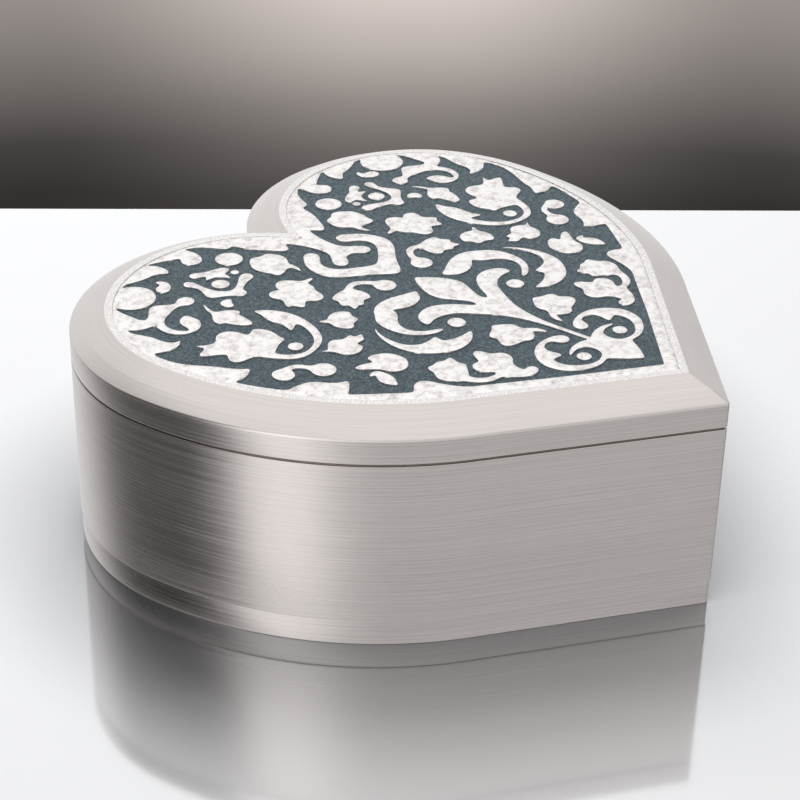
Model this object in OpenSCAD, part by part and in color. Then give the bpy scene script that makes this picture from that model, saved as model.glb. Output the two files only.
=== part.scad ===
// Heart-shaped wind-up music box: a hinged metal case with an enamelled,
// foliate lid and a pinned-cylinder movement wound by a key under the base.
// Millimetres, +Z up. The origin is the middle of the footprint, on the table.

/* [Heart outline] */
// Width across the two lobes
heart_w = 104; // [100:1:110]
// Radius of each lobe
lobe_r = 30.4; // [29:0.2:31.6]
// Radius of the long curved sides
side_r = 59.4; // [57:0.6:64]
// Angle between the centre line and each straight side at the point
point_angle = 50.8; // [49:0.4:52.6]

/* [Case] */
// Height of the case from the table to the lid seam
case_h = 31.7; // [31.7:0.1:36]
// Thickness of the case wall
wall = 2.6; // [2.2:0.1:2.8]
// Height of the base skirt, up to the fine line round the case
skirt_h = 4.4; // [3:0.2:6]
// How far the skirt stands back from the wall above it
skirt_step = 0.15; // [0.1:0.05:0.3]
// Height of the lip that keeps the lid in place
lip_h = 1; // [0.6:0.1:1.4]
// Thickness of that lip
lip_t = 1.2; // [0.8:0.1:1.4]
// Depth of the hollow under the base that hides the key
recess_h = 8; // [7.6:0.2:8]
// Thickness of the base floor
floor_t = 1.5; // [1.3:0.1:1.5]
// Distance of each boss axis from the outside of the case
boss_inset = 6.5; // [6.4:0.1:6.8]

/* [Lid] */
// Height of the upright band of the lid
band_h = 4.4; // [4:0.2:6]
// Width of the sloped edge, seen from above
slope_w = 5.6; // [5:0.2:6.4]
// Rise of the sloped edge
slope_h = 2.9; // [2.7:0.1:3.6]
// Width of the plain border round the enamel
border_w = 1.2; // [0.8:0.1:2]
// Depth of the recess that holds enamel and foliage
recess_d = 0.7; // [0.5:0.05:0.8]
// Thickness of the enamel in the recess
enamel_t = 0.3; // [0.2:0.05:0.4]
// Height of the dark groove at the seam
seam_gap = 0.35; // [0.2:0.05:0.5]
// Depth of that groove
seam_depth = 0.5; // [0.3:0.1:0.7]
// Room between the lid and the case lip
lip_gap = 0.2; // [0.15:0.05:0.3]
// Thickness of the velvet pad inside the lid
pad_t = 1.5; // [1:0.1:1.7]
// Metal left under the enamel recess
roof_t = 2.1; // [1.9:0.1:2.1]

/* [Hinge] */
// Radius of the hinge barrel
barrel_r = 1.1; // [1:0.05:1.2]
// Radius of the hinge pin
hinge_pin_r = 0.5; // [0.4:0.05:0.6]
// Length of the middle knuckle
knuckle_l = 3; // [2.6:0.2:3.6]
// Length of the barrel of each hinge
barrel_l = 8.6; // [8:0.2:9.4]
// Gap between neighbouring knuckles
knuckle_gap = 0.2; // [0.15:0.05:0.3]
// Room round the barrel in its seat
hinge_room = 0.2; // [0.15:0.05:0.25]
// Distance of the hinge axis behind the lobes
hinge_back = 0.75; // [0.7:0.05:0.9]
// How far each case leaf reaches below the seam
hinge_drop = 5; // [4:0.5:8]
// How far each lid leaf reaches above the seam
hinge_rise = 2.8; // [2.4:0.1:3.2]

/* [Tray] */
// Depth of the tray rim below the seam
tray_drop = 1.2; // [1.2:0.1:1.6]
// Thickness of the tray deck
deck_t = 2; // [1.9:0.1:2.2]
// Thickness of the walls of the keepsake pocket
pocket_wall = 1; // [0.8:0.1:1.2]
// Distance of the pocket from the outside of the case
pocket_inset = 7; // [6.4:0.2:8]
// Length of the pocket towards the point
pocket_l = 21; // [16:1:22]
// Thickness of the clear cover over the movement
cover_t = 1.2; // [1:0.1:1.2]
// Width of the ledge that carries the clear cover
ledge_w = 1.5; // [1:0.1:2]

/* [Movement] */
// Thickness of the movement bedplate
bed_t = 2; // [1.8:0.1:2]
// Length of the bedplate
bed_l = 53; // [52.6:0.2:54]
// Width of the bedplate
bed_w = 41.5; // [41.2:0.1:42]
// Number of tuned teeth on the comb
notes = 18; // [12:1:18]
// Distance between neighbouring teeth of the comb
note_pitch = 1.03; // [0.9:0.01:1.03]
// Radius of the pinned cylinder
drum_r = 6.3; // [6:0.1:6.4]
// How far the pins stand out of the cylinder
pin_h = 0.7; // [0.5:0.05:0.8]
// Pins on each track of the cylinder
pins_per_track = 6; // [3:1:7]
// Thickness of the comb
comb_t = 0.6; // [0.5:0.1:0.8]
// Free length of the longest tooth, at the bass end
bass_tooth = 12; // [10:0.5:12]
// Free length of the shortest tooth
treble_tooth = 7.3; // [6:0.1:8]
// Gap between the comb tips and the circle of the pins
pluck_gap = 0.12; // [0.1:0.02:0.2]

/* [Gears] */
// Teeth of the great wheel on the spring
wheel_teeth = 30; // [28:1:32]
// Teeth of the pinion on the cylinder arbor
pinion_teeth = 14; // [14:1:15]
// Width of the crown teeth, along the radius
crown_face = 1.6; // [1.2:0.1:1.7]
// Height of the cylinder axis above the bedplate
axis_h = 7.45; // [7.4:0.01:7.5]
// Teeth of the gear at the end of the cylinder
drum_gear_teeth = 34; // [32:1:34]
// Teeth of the governor pinion
gov_pinion_teeth = 10; // [10:1:11]
// Teeth of the governor wheel that drives the worm
worm_wheel_teeth = 24; // [23:1:24]
// Module of the governor gears
gov_module = 0.4; // [0.38:0.01:0.4]
// Pitch radius of the worm
worm_r = 1.4; // [1.35:0.05:1.5]

/* [Spring and key] */
// Outer radius of the spring housing
housing_r = 10.2; // [9.8:0.1:10.2]
// Height of the spring housing
housing_h = 10; // [9:0.5:10]
// Wall of the spring housing
housing_wall = 0.8; // [0.6:0.1:1]
// Radius of the winding arbor
arbor_r = 1.8; // [1.6:0.1:1.9]
// Coils of the mainspring
spring_turns = 7; // [5:1:8]
// Thickness of the mainspring strip
spring_t = 0.3; // [0.2:0.05:0.35]
// Width of the winding key across its wings
key_w = 22; // [18:1:24]
// Thickness of the key wings
key_t = 1.5; // [1.2:0.1:2]

/* [Governor and stop] */
// Radius swept by the fly
fly_r = 4.2; // [3.6:0.1:4.2]
// Height of the fly wings
fly_h = 2.6; // [2:0.1:2.6]
// Radius of the brake disc on the fly
brake_r = 2.6; // [2.2:0.1:2.6]
// Radius of the stop rod
rod_r = 0.5; // [0.4:0.05:0.6]

/* [Hidden] */
$fn = 72;
fine = 0.01;
run = 0.05;        // running clearance of a shaft in its bore
lift = 0.3;        // working gap between stacked pieces

// Heart
arc = point_angle;                       // sweep of the long side
lobe_x = heart_w / 2 - lobe_r;
side_x = heart_w / 2 - side_r;
point_y = tangent_point(0)[1] - tangent_point(0)[0] / tan(point_angle);
hinge_y = lobe_r + hinge_back;
back_y = hinge_y + barrel_r;
side_knuckle_l = (barrel_l - knuckle_l) / 2 - knuckle_gap;
centre_y = -(point_y + back_y) / 2;      // moves the footprint's middle to the origin

// Heights
recess_top = recess_h;
floor_top = recess_top + floor_t;
bed_top = floor_top + bed_t;
tray_top = case_h - tray_drop;
deck_z = tray_top - deck_t;
lid_z = case_h;
band_top = lid_z + band_h;
lid_top = band_top + slope_h;
enamel_z = lid_top - recess_d;
pad_top = enamel_z - roof_t;
recess_inset = slope_w + border_w;
leaf_gap = 0.1;                          // of each hinge leaf from the seam
boss_r = boss_inset - wall + 0.6;        // the bosses run into the wall

// Movement, placed by its own axes
mov_x = 0;
mov_y = -6.5;
bed_y = -21.5;
spring_x = -12.5;
axis_y = 2;
axis_z = bed_top + axis_h;
pin_circle = drum_r + pin_h;
wheel_r = 11.5;                              // pitch radius of the crown teeth
crown_pitch = 360 / wheel_teeth;
crown_module = 2 * wheel_r / wheel_teeth;
pinion_r = crown_module * pinion_teeth / 2;
wheel_z = bed_top + 0.4;
web_t = 1;
mesh_z = axis_z - pinion_r;                  // pitch plane of the crown teeth
wheel_out = wheel_r + crown_face / 2;
pinion_x = spring_x + wheel_r - crown_face / 2;
bracket_t = 1;
bracket_x = spring_x + wheel_out + lift;
drum_x = bracket_x + bracket_t + 0.4;
comb_margin = 0.23;                          // of the cylinder, past each end of the comb
drum_l = notes * note_pitch + 2 * comb_margin;
gear_t = 1.2;
gear_x = drum_x + drum_l + 0.4;
frame_x = gear_x + gear_t + 0.4;
worm_wheel_x = frame_x + bracket_t + 0.6;
frame_end = worm_wheel_x + gear_t + 0.6 + bracket_t;
bed_x = frame_end + 0.6 - bed_l;
fly_x = worm_wheel_x + gear_t / 2;
drum_gear_r = gov_module * drum_gear_teeth / 2;
gov_pinion_r = gov_module * gov_pinion_teeth / 2;
worm_wheel_r = gov_module * worm_wheel_teeth / 2;
gov_angle = 10;                              // direction of the governor shaft from the cylinder
gov_y = axis_y + (drum_gear_r + gov_pinion_r) * cos(gov_angle);
gov_z = axis_z + (drum_gear_r + gov_pinion_r) * sin(gov_angle);
fly_y = gov_y + worm_wheel_r + worm_r;
worm_pitch = PI * gov_module;
worm_eccentric = 0.34;                       // offset of the thread's round from the shaft
worm_core = worm_r - 0.5;

tail_r = 0.6;                                // governor shaft
cyl_shaft_r = 1;
pivot_r = 0.4;
fly_z = bed_top + 1;
brake_z = gov_z + 4.6;
brake_t = 0.8;
bridge_z = brake_z + brake_t + 0.8;
bridge_t = 1;
post_y = fly_y + fly_r + 1.1;
rod_x = fly_x + 5.7;
pad_z = brake_z + brake_t + 0.2;
pad_h = 0.6;
collar_z = bed_top + 8;
rod_top = pad_top - pad_t - lift;

housing_z = wheel_z + web_t + 1.9;
plate_t = 0.9;
ear_r = 14.4;
screw_r = 0.8;

plug_inset = wall + 0.15;                    // the pan's rim plugs into the case
plug_wall = 1.4;
base_screw_r = 1;
base_screw_l = 8;
base_head_r = 1.9;
mount_screw_r = 1.3;
mount_spots = [[bed_x + 4, 16.5], [bed_x + 3.5, -17.5], [16, 16]];
pocket_y = mov_y + bed_y - 5.4;              // back wall of the pocket
cover_x = bed_x - 1;
cover_y = bed_y - 1.4;
cover_l = bed_l + 1.6;
cover_w = bed_w + 0.6;
comb_x = drum_x + comb_margin;
comb_w = notes * note_pitch;
comb_z = axis_z - comb_t / 2;
comb_base_w = 3.7;
comb_screw_x = [comb_x + comb_w * 0.25, comb_x + comb_w * 0.75];
comb_screw_y = bed_y + comb_base_w / 2;
frame_screw_spots = [[bracket_x + 3.6, axis_y + 6.3], [fly_x, axis_y - 3.2], [fly_x, axis_y + 1.2],
  [fly_x - 2.2, post_y], [rod_x + 0.1, fly_y - 2.7]];
frame_head_r = 1.1;
stop_eye_z = bed_top + 12;
housing_top = housing_z + plate_t + housing_h;
spring_z = housing_z + plate_t + 0.2;
spring_w = housing_h - housing_wall - 0.5;
core_r = arbor_r + 0.6;
arbor_pivot_r = 1.2;
ratchet_r = 3.2;
key_z = 1.6;
key_hub_h = 5.8;
key_wing_h = 4.8;

// ---------- outline helpers ----------
function tangent_point(d) = [side_x + (side_r - d) * cos(arc), -(side_r - d) * sin(arc)];
// Kite between the two straight sides, reaching up past the roots of the curved ones
function heart_point(d, root) = let (a = tangent_point(d))
  [[0, root.y + 4], [-a.x, a.y], [0, point_y + d / sin(point_angle)], a];
function boss_spots() = [
  for (s = [-1, 1]) [s * (lobe_x + (lobe_r - boss_inset) * cos(80)), (lobe_r - boss_inset) * sin(80)],
  for (s = [-1, 1]) [s * (side_x + (side_r - boss_inset) * cos(8)), -(side_r - boss_inset) * sin(8)],
  [0, point_y + boss_inset / sin(point_angle)]];

// Length of the slit beside tooth i of the comb
function comb_slit(i) = bass_tooth - (bass_tooth - treble_tooth) * i / notes;
// Place of track i along the cylinder, and turn of pin k on it
function track_z(i) = comb_x - drum_x + (i + 0.5) * note_pitch;
function pin_turn(i, k) = 360 * k / pins_per_track + 47 * i + 23 * ((i * k) % 3);
// Section of one crown tooth, across the radius
function crown_tooth() = let (foot = mesh_z - wheel_z - web_t + fine, tip = foot + 0.72 * crown_module,
    half = 0.66 * crown_module)
  [[-half - foot * tan(20), 0], [half + foot * tan(20), 0],
   [half - (tip - foot) * tan(20), tip], [-half + (tip - foot) * tan(20), tip]];

// Heart with straight or tapered sides: inset d0 from the outline at z0, d1 at z1
module heart_block(d0, d1, z0, z1) translate([0, 0, z0]) {
  far = 2 * heart_w;
  h = z1 - z0;
  root = [0, side_x * tan(arc)];
  foot = heart_point(d0, root);
  head = heart_point(d1, root);
  for (s = [0, 1]) mirror([s, 0, 0]) {
    intersection() {
      translate([lobe_x, 0, 0]) cylinder(r1 = lobe_r - d0, r2 = lobe_r - d1, h = h, $fn = 144);
      translate([-1, 0, 0]) cube([far, far, h]);
    }
    intersection() {
      translate([side_x, 0, 0]) cylinder(r1 = side_r - d0, r2 = side_r - d1, h = h, $fn = 240);
      linear_extrude(h)
        polygon([[-1, root.y], root, [side_x + far * cos(arc), -far * sin(arc)], [far, 0], [-1, 0]]);
    }
  }
  if (d0 == d1)
    linear_extrude(h) polygon(foot);
  else
    polyhedron(
      [for (p = foot) [p.x, p.y, 0], for (p = head) [p.x, p.y, h]],
      [[0, 1, 2, 3], [7, 6, 5, 4], [1, 5, 6, 2], [2, 6, 7, 3], [0, 4, 5], [0, 5, 1], [3, 7, 4], [3, 4, 0]]);
}

// The same outline as a flat shape
module heart_flat(d) {
  far = 2 * heart_w;
  root = [0, side_x * tan(arc)];
  for (s = [0, 1]) mirror([s, 0]) {
    intersection() {
      translate([lobe_x, 0]) circle(lobe_r - d, $fn = 144);
      translate([-1, 0]) square(far);
    }
    intersection() {
      translate([side_x, 0]) circle(side_r - d, $fn = 240);
      polygon([[-1, root.y], root, [side_x + far * cos(arc), -far * sin(arc)], [far, 0], [-1, 0]]);
    }
  }
  polygon(heart_point(d, root));
}

// ---------- general helpers ----------
module place() translate([0, centre_y, 0]) children();
module in_movement() place() translate([mov_x, mov_y, 0]) children();
// Local x, y, z become y, z, x, for wheels on a shaft along X
module along_x(x, y, z) translate([x, y, z]) rotate([90, 0, 90]) children();

module rod(r, z0, z1) translate([0, 0, z0]) cylinder(r = r, h = z1 - z0);

module slotted_screw(r, z0, z1, head_r, head_h) {
  difference() {
    union() {
      rod(r, z0, z1);
      rod(head_r, z1, z1 + head_h);
    }
    translate([-head_r - 1, -0.25, z1 + head_h / 2]) cube([2 * head_r + 2, 0.5, head_h]);
  }
}

// Straight-flanked spur teeth round a disc
function gear_outline(teeth, module_size, half_tooth, add, ded) = let (r = module_size * teeth / 2) [
  for (i = [0:teeth - 1]) for (k = [[-1, -ded], [-1, add], [1, add], [1, -ded]])
    let (rr = r + k[1] * module_size,
         half = (half_tooth - k[1] * tan(20)) * module_size,
         turn = 360 * i / teeth + k[0] * half / rr * 180 / PI)
    [rr * cos(turn), rr * sin(turn)]];

module spur_gear(teeth, module_size, thick, half_tooth = 0.62, add = 0.85, ded = 1.1) {
  linear_extrude(thick) polygon(gear_outline(teeth, module_size, half_tooth, add, ded));
}

// ---------- case ----------
module case_wall() color("silver") place() difference() {
  union() {
    difference() {
      heart_block(0, 0, skirt_h, case_h);
      heart_block(wall, wall, skirt_h - 1, case_h + 1);
    }
    difference() {
      heart_block(wall - lip_t, wall - lip_t, case_h - fine, case_h + lip_h);
      heart_block(wall, wall, case_h - 1, case_h + lip_h + 1);
    }
    for (b = boss_spots()) translate([b.x, b.y, 0]) intersection() {
      rod(boss_r, floor_top, deck_z);
      translate([-b.x, -b.y, 0]) heart_block(wall / 2, wall / 2, floor_top, deck_z);
    }
  }
  for (b = boss_spots()) translate([b.x, b.y, 0]) rod(base_screw_r, floor_top - 1, floor_top + base_screw_l);
  hinge_seats();
}

module base_pan() color("silver") place() difference() {
  union() {
    heart_block(skirt_step, skirt_step, 0, skirt_h);
    heart_block(plug_inset, plug_inset, skirt_h, floor_top);
  }
  heart_block(plug_inset + plug_wall, plug_inset + plug_wall, -1, recess_top);
  for (b = boss_spots()) translate([b.x, b.y, 0]) rod(base_screw_r + run, recess_top - 1, floor_top + 1);
  translate([mov_x, mov_y, 0]) {
    translate([spring_x, axis_y, 0]) rod(arbor_r + 1.5, recess_top - 1, floor_top + 1);
    for (m = mount_spots) translate([m.x, m.y, 0]) rod(mount_screw_r + run, recess_top - 1, floor_top + 1);
  }
}

module base_screws() color("gray") place() for (b = boss_spots())
  translate([b.x, b.y, 0]) mirror([0, 0, 1])
    slotted_screw(base_screw_r, -floor_top - base_screw_l + 0.5, -recess_top, base_head_r, 1.3);

// Middle and outer knuckles of the barrel
module at_hinges() for (s = [-1, 1]) translate([s * lobe_x, hinge_y, case_h]) children();

// Round bar on the hinge axis, its middle at x
module hinge_bar(r, l, x = 0) translate([x - l / 2, 0, 0]) rotate([0, 90, 0]) cylinder(r = r, h = l);

// The middle knuckle of a hinge, or the two beside it
module knuckles(middle) {
  if (middle)
    hinge_bar(barrel_r, knuckle_l);
  else
    for (s = [-1, 1]) hinge_bar(barrel_r, side_knuckle_l, s * (barrel_l - side_knuckle_l) / 2);
}

// Space that the other leaf's knuckles turn in
module knuckle_room(middle) {
  far = barrel_l;
  if (middle)
    hinge_bar(barrel_r + hinge_room, knuckle_l + 2 * knuckle_gap);
  else
    for (s = [-1, 1]) hinge_bar(barrel_r + hinge_room, far, s * (knuckle_l + far) / 2);
}

module hinge_seats() at_hinges() hinge_bar(barrel_r + hinge_room, barrel_l + 2 * hinge_room);

// Leaves that lie on the backs of the lobes, from z0 to z1
module hinge_plates(z0, z1) difference() {
  for (s = [-1, 1])
    translate([s * lobe_x - barrel_l / 2, lobe_r - wall, z0]) cube([barrel_l, wall + hinge_back, z1 - z0]);
  heart_block(0, 0, z0 - 1, z1 + 1);
}

// One leaf of both hinges, from z0 to z1, bored for a pin of radius r
module hinge_leaf(z0, z1, middle, r) difference() {
  union() {
    difference() {
      hinge_plates(z0, z1);
      at_hinges() knuckle_room(!middle);
    }
    at_hinges() knuckles(middle);
  }
  at_hinges() hinge_bar(r, 2 * barrel_l);
}

module hinge_case_leaf() color("silver") place()
  hinge_leaf(case_h - hinge_drop, case_h - leaf_gap, false, hinge_pin_r);

module hinge_lid_leaf() color("silver") place()
  hinge_leaf(case_h + leaf_gap, case_h + hinge_rise, true, hinge_pin_r + run);

module hinge_pin() color("gray") place() at_hinges() hinge_bar(hinge_pin_r, barrel_l - 0.4);

// ---------- tray ----------
// Plan of the pocket: follows the sides of the case at inset d
module pocket(d, grow, z0, z1) {
  back = pocket_y + grow;
  front = pocket_y - pocket_l - grow;
  bend = tangent_point(d);
  back_x = side_x + sqrt(pow(side_r - d, 2) - back * back);
  front_x = bend.x + (front - bend.y) * tan(point_angle);
  translate([0, 0, z0]) linear_extrude(z1 - z0)
    polygon([[-back_x, back], [-bend.x, bend.y], [-front_x, front], [front_x, front], bend, [back_x, back]]);
}

module cover_plan(grow, z0, z1)
  translate([mov_x + cover_x - grow, mov_y + cover_y - grow, z0])
    cube([cover_l + 2 * grow, cover_w + 2 * grow, z1 - z0]);

module tray() color("midnightblue") place() difference() {
  union() {
    heart_block(wall + lift, wall + lift, deck_z, tray_top);
    pocket(pocket_inset - pocket_wall, pocket_wall, floor_top, tray_top);
  }
  pocket(pocket_inset, 0, floor_top + pocket_wall, tray_top + 1);
  cover_plan(-ledge_w, deck_z - 1, tray_top + 1);
  cover_plan(0.1, tray_top - cover_t, tray_top + 1);
  translate([mov_x + rod_x, mov_y + fly_y, 0]) rod(rod_r + 0.4, deck_z - 1, tray_top + 1);
}

module clear_cover() color("lightblue", 0.4) place() cover_plan(0, tray_top - cover_t, tray_top);

// ---------- movement: fixed pieces ----------
module bedplate() color("darkgray") in_movement() difference() {
  union() {
    translate([bed_x, bed_y, floor_top]) cube([bed_l, bed_w, bed_t]);
    translate([fly_x - 3.8, bed_y, floor_top]) cube([6.4, post_y + 1.5 - bed_y, bed_t]);
    translate([0, fly_y - 4.4, floor_top]) cube([rod_x + 2.4, 7.6, bed_t]);
    for (s = [-1, 1]) translate([spring_x, axis_y + s * ear_r, 0]) rod(1.5, floor_top, housing_z);
    for (m = mount_spots) translate([m.x, m.y, 0]) rod(2.6, floor_top, bed_top + 0.6);
  }
  translate([spring_x, axis_y, 0]) rod(arbor_r + run, floor_top - 1, bed_top + 1);
  for (s = [-1, 1]) translate([spring_x, axis_y + s * ear_r, 0]) rod(screw_r, bed_top, housing_z + 1);
  for (m = mount_spots) translate([m.x, m.y, 0]) rod(mount_screw_r, floor_top - 1, bed_top);
  for (c = comb_screw_x) translate([c, comb_screw_y, 0]) rod(screw_r, floor_top + 0.4, bed_top + 1);
  for (f = frame_screw_spots) translate([f.x, f.y, 0]) rod(screw_r, floor_top + 0.4, bed_top + 1);
  translate([fly_x, fly_y, 0]) rod(pivot_r + run, bed_top - 1, bed_top + 1);
}

module movement_screws() color("gray") in_movement() for (m = mount_spots)
  translate([m.x, m.y, 0]) mirror([0, 0, 1])
    slotted_screw(mount_screw_r, -bed_top + 0.2, -recess_top, 2.6, 1.3);

// Tuned comb: long bass teeth at the left, short treble teeth at the right
module comb() color("lightsteelblue") in_movement() {
  tip_y = axis_y - pin_circle - pluck_gap;
  slit = 0.3;
  difference() {
    translate([comb_x, bed_y, comb_z]) cube([comb_w, tip_y - bed_y, comb_t]);
    for (i = [1:notes - 1])
      translate([comb_x + i * note_pitch - slit / 2, tip_y - comb_slit(i), comb_z - 1])
        cube([slit, comb_slit(i) + 1, comb_t + 2]);
    for (c = comb_screw_x) translate([c, comb_screw_y, 0])
      rod(screw_r + run, comb_z - 1, comb_z + comb_t + 1);
  }
  // weights that tune the bass teeth
  for (i = [0:floor(notes / 2) - 1])
    translate([comb_x + i * note_pitch + slit, tip_y - 3, comb_z - 1.6 + i * 0.12])
      cube([note_pitch - 2 * slit, 2.2, 1.6 - i * 0.12 + comb_t / 2]);
}

module comb_base() color("goldenrod") in_movement() difference() {
  translate([comb_x, bed_y, bed_top]) cube([comb_w, comb_base_w, comb_z - bed_top]);
  for (c = comb_screw_x) translate([c, comb_screw_y, 0]) rod(screw_r + run, bed_top - 1, axis_z + 1);
}

module comb_screws() color("gray") in_movement() for (c = comb_screw_x)
  translate([c, comb_screw_y, 0]) slotted_screw(screw_r, floor_top + 0.5, comb_z + comb_t, 1.5, 0.9);

module frame_screw_hole(k) translate([frame_screw_spots[k].x, frame_screw_spots[k].y, 0])
  rod(screw_r + run, bed_top - 1, bed_top + bracket_t + 1);

// Upright plate with a foot; carries the left end of the cylinder arbor
module left_bracket() color("silver") in_movement() difference() {
  union() {
    translate([bracket_x, axis_y - 3, bed_top]) cube([bracket_t, 11.6, axis_h + 2.4]);
    translate([bracket_x, axis_y + 3.6, bed_top]) cube([5.6, 5, bracket_t]);
  }
  along_x(bracket_x - 1, axis_y, axis_z) cylinder(r = cyl_shaft_r + run, h = bracket_t + 2);
  frame_screw_hole(0);
}

// Two plates on one foot; they carry the right end of the arbor and the governor shaft
module governor_frame() color("silver") in_movement() difference() {
  edge_y = gov_y + 1.6;
  union() {
    translate([frame_x, axis_y - 5, bed_top]) cube([frame_end - frame_x, edge_y - axis_y + 5, bracket_t]);
    translate([frame_x, axis_y - 3, bed_top]) cube([bracket_t, edge_y - axis_y + 3, gov_z + 1.6 - bed_top]);
    translate([frame_end - bracket_t, edge_y - 4.2, bed_top]) cube([bracket_t, 4.2, gov_z + 1.6 - bed_top]);
  }
  along_x(frame_x - 1, axis_y, axis_z) cylinder(r = cyl_shaft_r + run, h = bracket_t + 2);
  along_x(frame_x - 1, gov_y, gov_z) cylinder(r = tail_r + run, h = frame_end - frame_x + 2);
  for (k = [1, 2]) frame_screw_hole(k);
}

// Post and arm over the fly; holds its top pivot
module fly_bridge() color("silver") in_movement() difference() {
  union() {
    translate([fly_x, post_y, 0]) rod(0.9, bed_top, bridge_z + bridge_t);
    translate([fly_x - 3.6, post_y - 1.3, bed_top]) cube([4.8, 2.6, bracket_t]);
    translate([fly_x - 0.9, fly_y, bridge_z]) cube([1.8, post_y - fly_y, bridge_t]);
    translate([fly_x, fly_y, 0]) rod(0.9, bridge_z, bridge_z + bridge_t);
  }
  translate([fly_x, fly_y, 0]) rod(pivot_r + run, bridge_z - 1, bridge_z + bridge_t + 1);
  frame_screw_hole(3);
}

// Bent strip with two eyes that guide the stop rod
module stop_bracket() color("silver") in_movement() difference() {
  union() {
    translate([rod_x - 1.2, fly_y - 4.2, bed_top]) cube([3.4, 7.2, bracket_t]);
    translate([rod_x + 1.2, fly_y - 1.5, bed_top]) cube([bracket_t, 3, stop_eye_z + 1 - bed_top]);
    for (z = [bed_top + 1.6, stop_eye_z])
      translate([rod_x - 1.1, fly_y - 1.5, z]) cube([2.4, 3, 1]);
  }
  translate([rod_x, fly_y, 0]) rod(rod_r + run, bed_top - 1, stop_eye_z + 3);
  frame_screw_hole(4);
}

module frame_screws() color("gray") in_movement() for (f = frame_screw_spots)
  translate([f.x, f.y, 0]) slotted_screw(screw_r, floor_top + 0.5, bed_top + bracket_t, frame_head_r, 0.8);

// ---------- mainspring and its housing ----------
module housing_plate() color("gainsboro") in_movement() difference() {
  union() {
    translate([spring_x, axis_y, 0]) rod(housing_r, housing_z, housing_z + plate_t);
    translate([spring_x - 2, axis_y - ear_r, housing_z]) cube([4, 2 * ear_r, plate_t]);
    for (s = [-1, 1]) translate([spring_x, axis_y + s * ear_r, 0]) rod(2, housing_z, housing_z + plate_t);
  }
  translate([spring_x, axis_y, 0]) rod(arbor_r + 0.2, housing_z - 1, housing_z + plate_t + 1);
  for (s = [-1, 1]) translate([spring_x, axis_y + s * ear_r, 0])
    rod(screw_r + run, housing_z - 1, housing_z + plate_t + 1);
}

module housing_screws() color("gray") in_movement() for (s = [-1, 1])
  translate([spring_x, axis_y + s * ear_r, 0])
    slotted_screw(screw_r, bed_top + 0.2, housing_z + plate_t, 1.5, 0.8);

module spring_housing() color("gainsboro") in_movement() translate([spring_x, axis_y, 0]) difference() {
  rod(housing_r, housing_z + plate_t, housing_top);
  rod(housing_r - housing_wall, housing_z + plate_t - 1, housing_top - housing_wall);
  rod(arbor_pivot_r + run, housing_z, housing_top + 1);
}

module mainspring() color("steelblue") in_movement() translate([spring_x, axis_y, spring_z]) {
  inner = core_r + 0.4;
  outer = housing_r - housing_wall - spring_t - 0.1;
  steps = spring_turns * 36;
  coil = function (k, side) let (r = inner + (outer - inner) * k / steps + side * spring_t / 2)
    [r * cos(10 * k), r * sin(10 * k)];
  linear_extrude(spring_w) polygon(concat(
    [for (k = [0:steps]) coil(k, 1)],
    [for (k = [steps:-1:0]) coil(k, -1)]));
}

// ---------- movement: turning pieces ----------
// Pinned cylinder: each track carries the pins that pluck one tooth
module drum_with_pins() difference() {
  union() {
    cylinder(r = drum_r, h = drum_l);
    for (i = [0:notes - 1]) for (k = [0:pins_per_track - 1])
      rotate(pin_turn(i, k)) translate([0, 0, track_z(i)])
        rotate([0, 90, 0]) cylinder(r = 0.22, h = pin_circle, $fn = 6);
  }
  translate([0, 0, -1]) cylinder(r = drum_r - 0.9, h = drum_l);
  translate([0, 0, -1]) cylinder(r = cyl_shaft_r, h = drum_l + 2);
}

module pinned_cylinder() color("gold") in_movement() along_x(drum_x, axis_y, axis_z) {
  drum_with_pins();
  // end disc that seats the open end on the arbor
  difference() {
    cylinder(r = drum_r - 0.9, h = 0.8);
    translate([0, 0, -1]) cylinder(r = cyl_shaft_r, h = 3);
  }
}

module cylinder_arbor() color("gray") in_movement() along_x(pinion_x - 0.2, axis_y, axis_z)
  cylinder(r = cyl_shaft_r, h = frame_x + bracket_t + 0.5 - pinion_x);

module cylinder_pinion() color("goldenrod") in_movement() along_x(pinion_x, axis_y, axis_z) difference() {
  rotate(-90) spur_gear(pinion_teeth, crown_module, crown_face, 0.66, 0.72, 1);
  translate([0, 0, -1]) cylinder(r = cyl_shaft_r, h = crown_face + 2);
}

module cylinder_gear() color("goldenrod") in_movement() along_x(gear_x, axis_y, axis_z) difference() {
  rotate(gov_angle) spur_gear(drum_gear_teeth, gov_module, gear_t);
  translate([0, 0, -1]) cylinder(r = cyl_shaft_r, h = gear_t + 2);
}

// Crown wheel with upright teeth on its rim
module great_wheel() color("goldenrod") in_movement() translate([spring_x, axis_y, 0]) difference() {
  union() {
    rod(wheel_out, wheel_z, wheel_z + web_t);
    rod(arbor_r + 0.9, wheel_z - 0.3, wheel_z + web_t + 0.2);
    for (i = [0:wheel_teeth - 1]) rotate((i + 0.5) * crown_pitch)
      translate([wheel_out - crown_face, 0, wheel_z + web_t - fine]) rotate([90, 0, 90])
        linear_extrude(crown_face - 0.02) polygon(crown_tooth());
  }
  rod(arbor_r + run, wheel_z - 1, wheel_z + web_t + 1);
  for (i = [0:4]) rotate(72 * i + 20) translate([6.8, 0, 0]) rod(1.9, wheel_z - 1, wheel_z + web_t + 1);
}

// Strip on the wheel that slips over the ratchet while winding
module click_spring() color("steelblue") in_movement()
  translate([spring_x, axis_y, wheel_z + web_t]) rotate(-10) difference() {
    translate([ratchet_r + 0.15, -3.6, 0]) cube([1.2, 7.2, 1]);
    translate([ratchet_r + 0.75, -4, 0.5]) cube([2, 5.4, 1]);
  }

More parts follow.
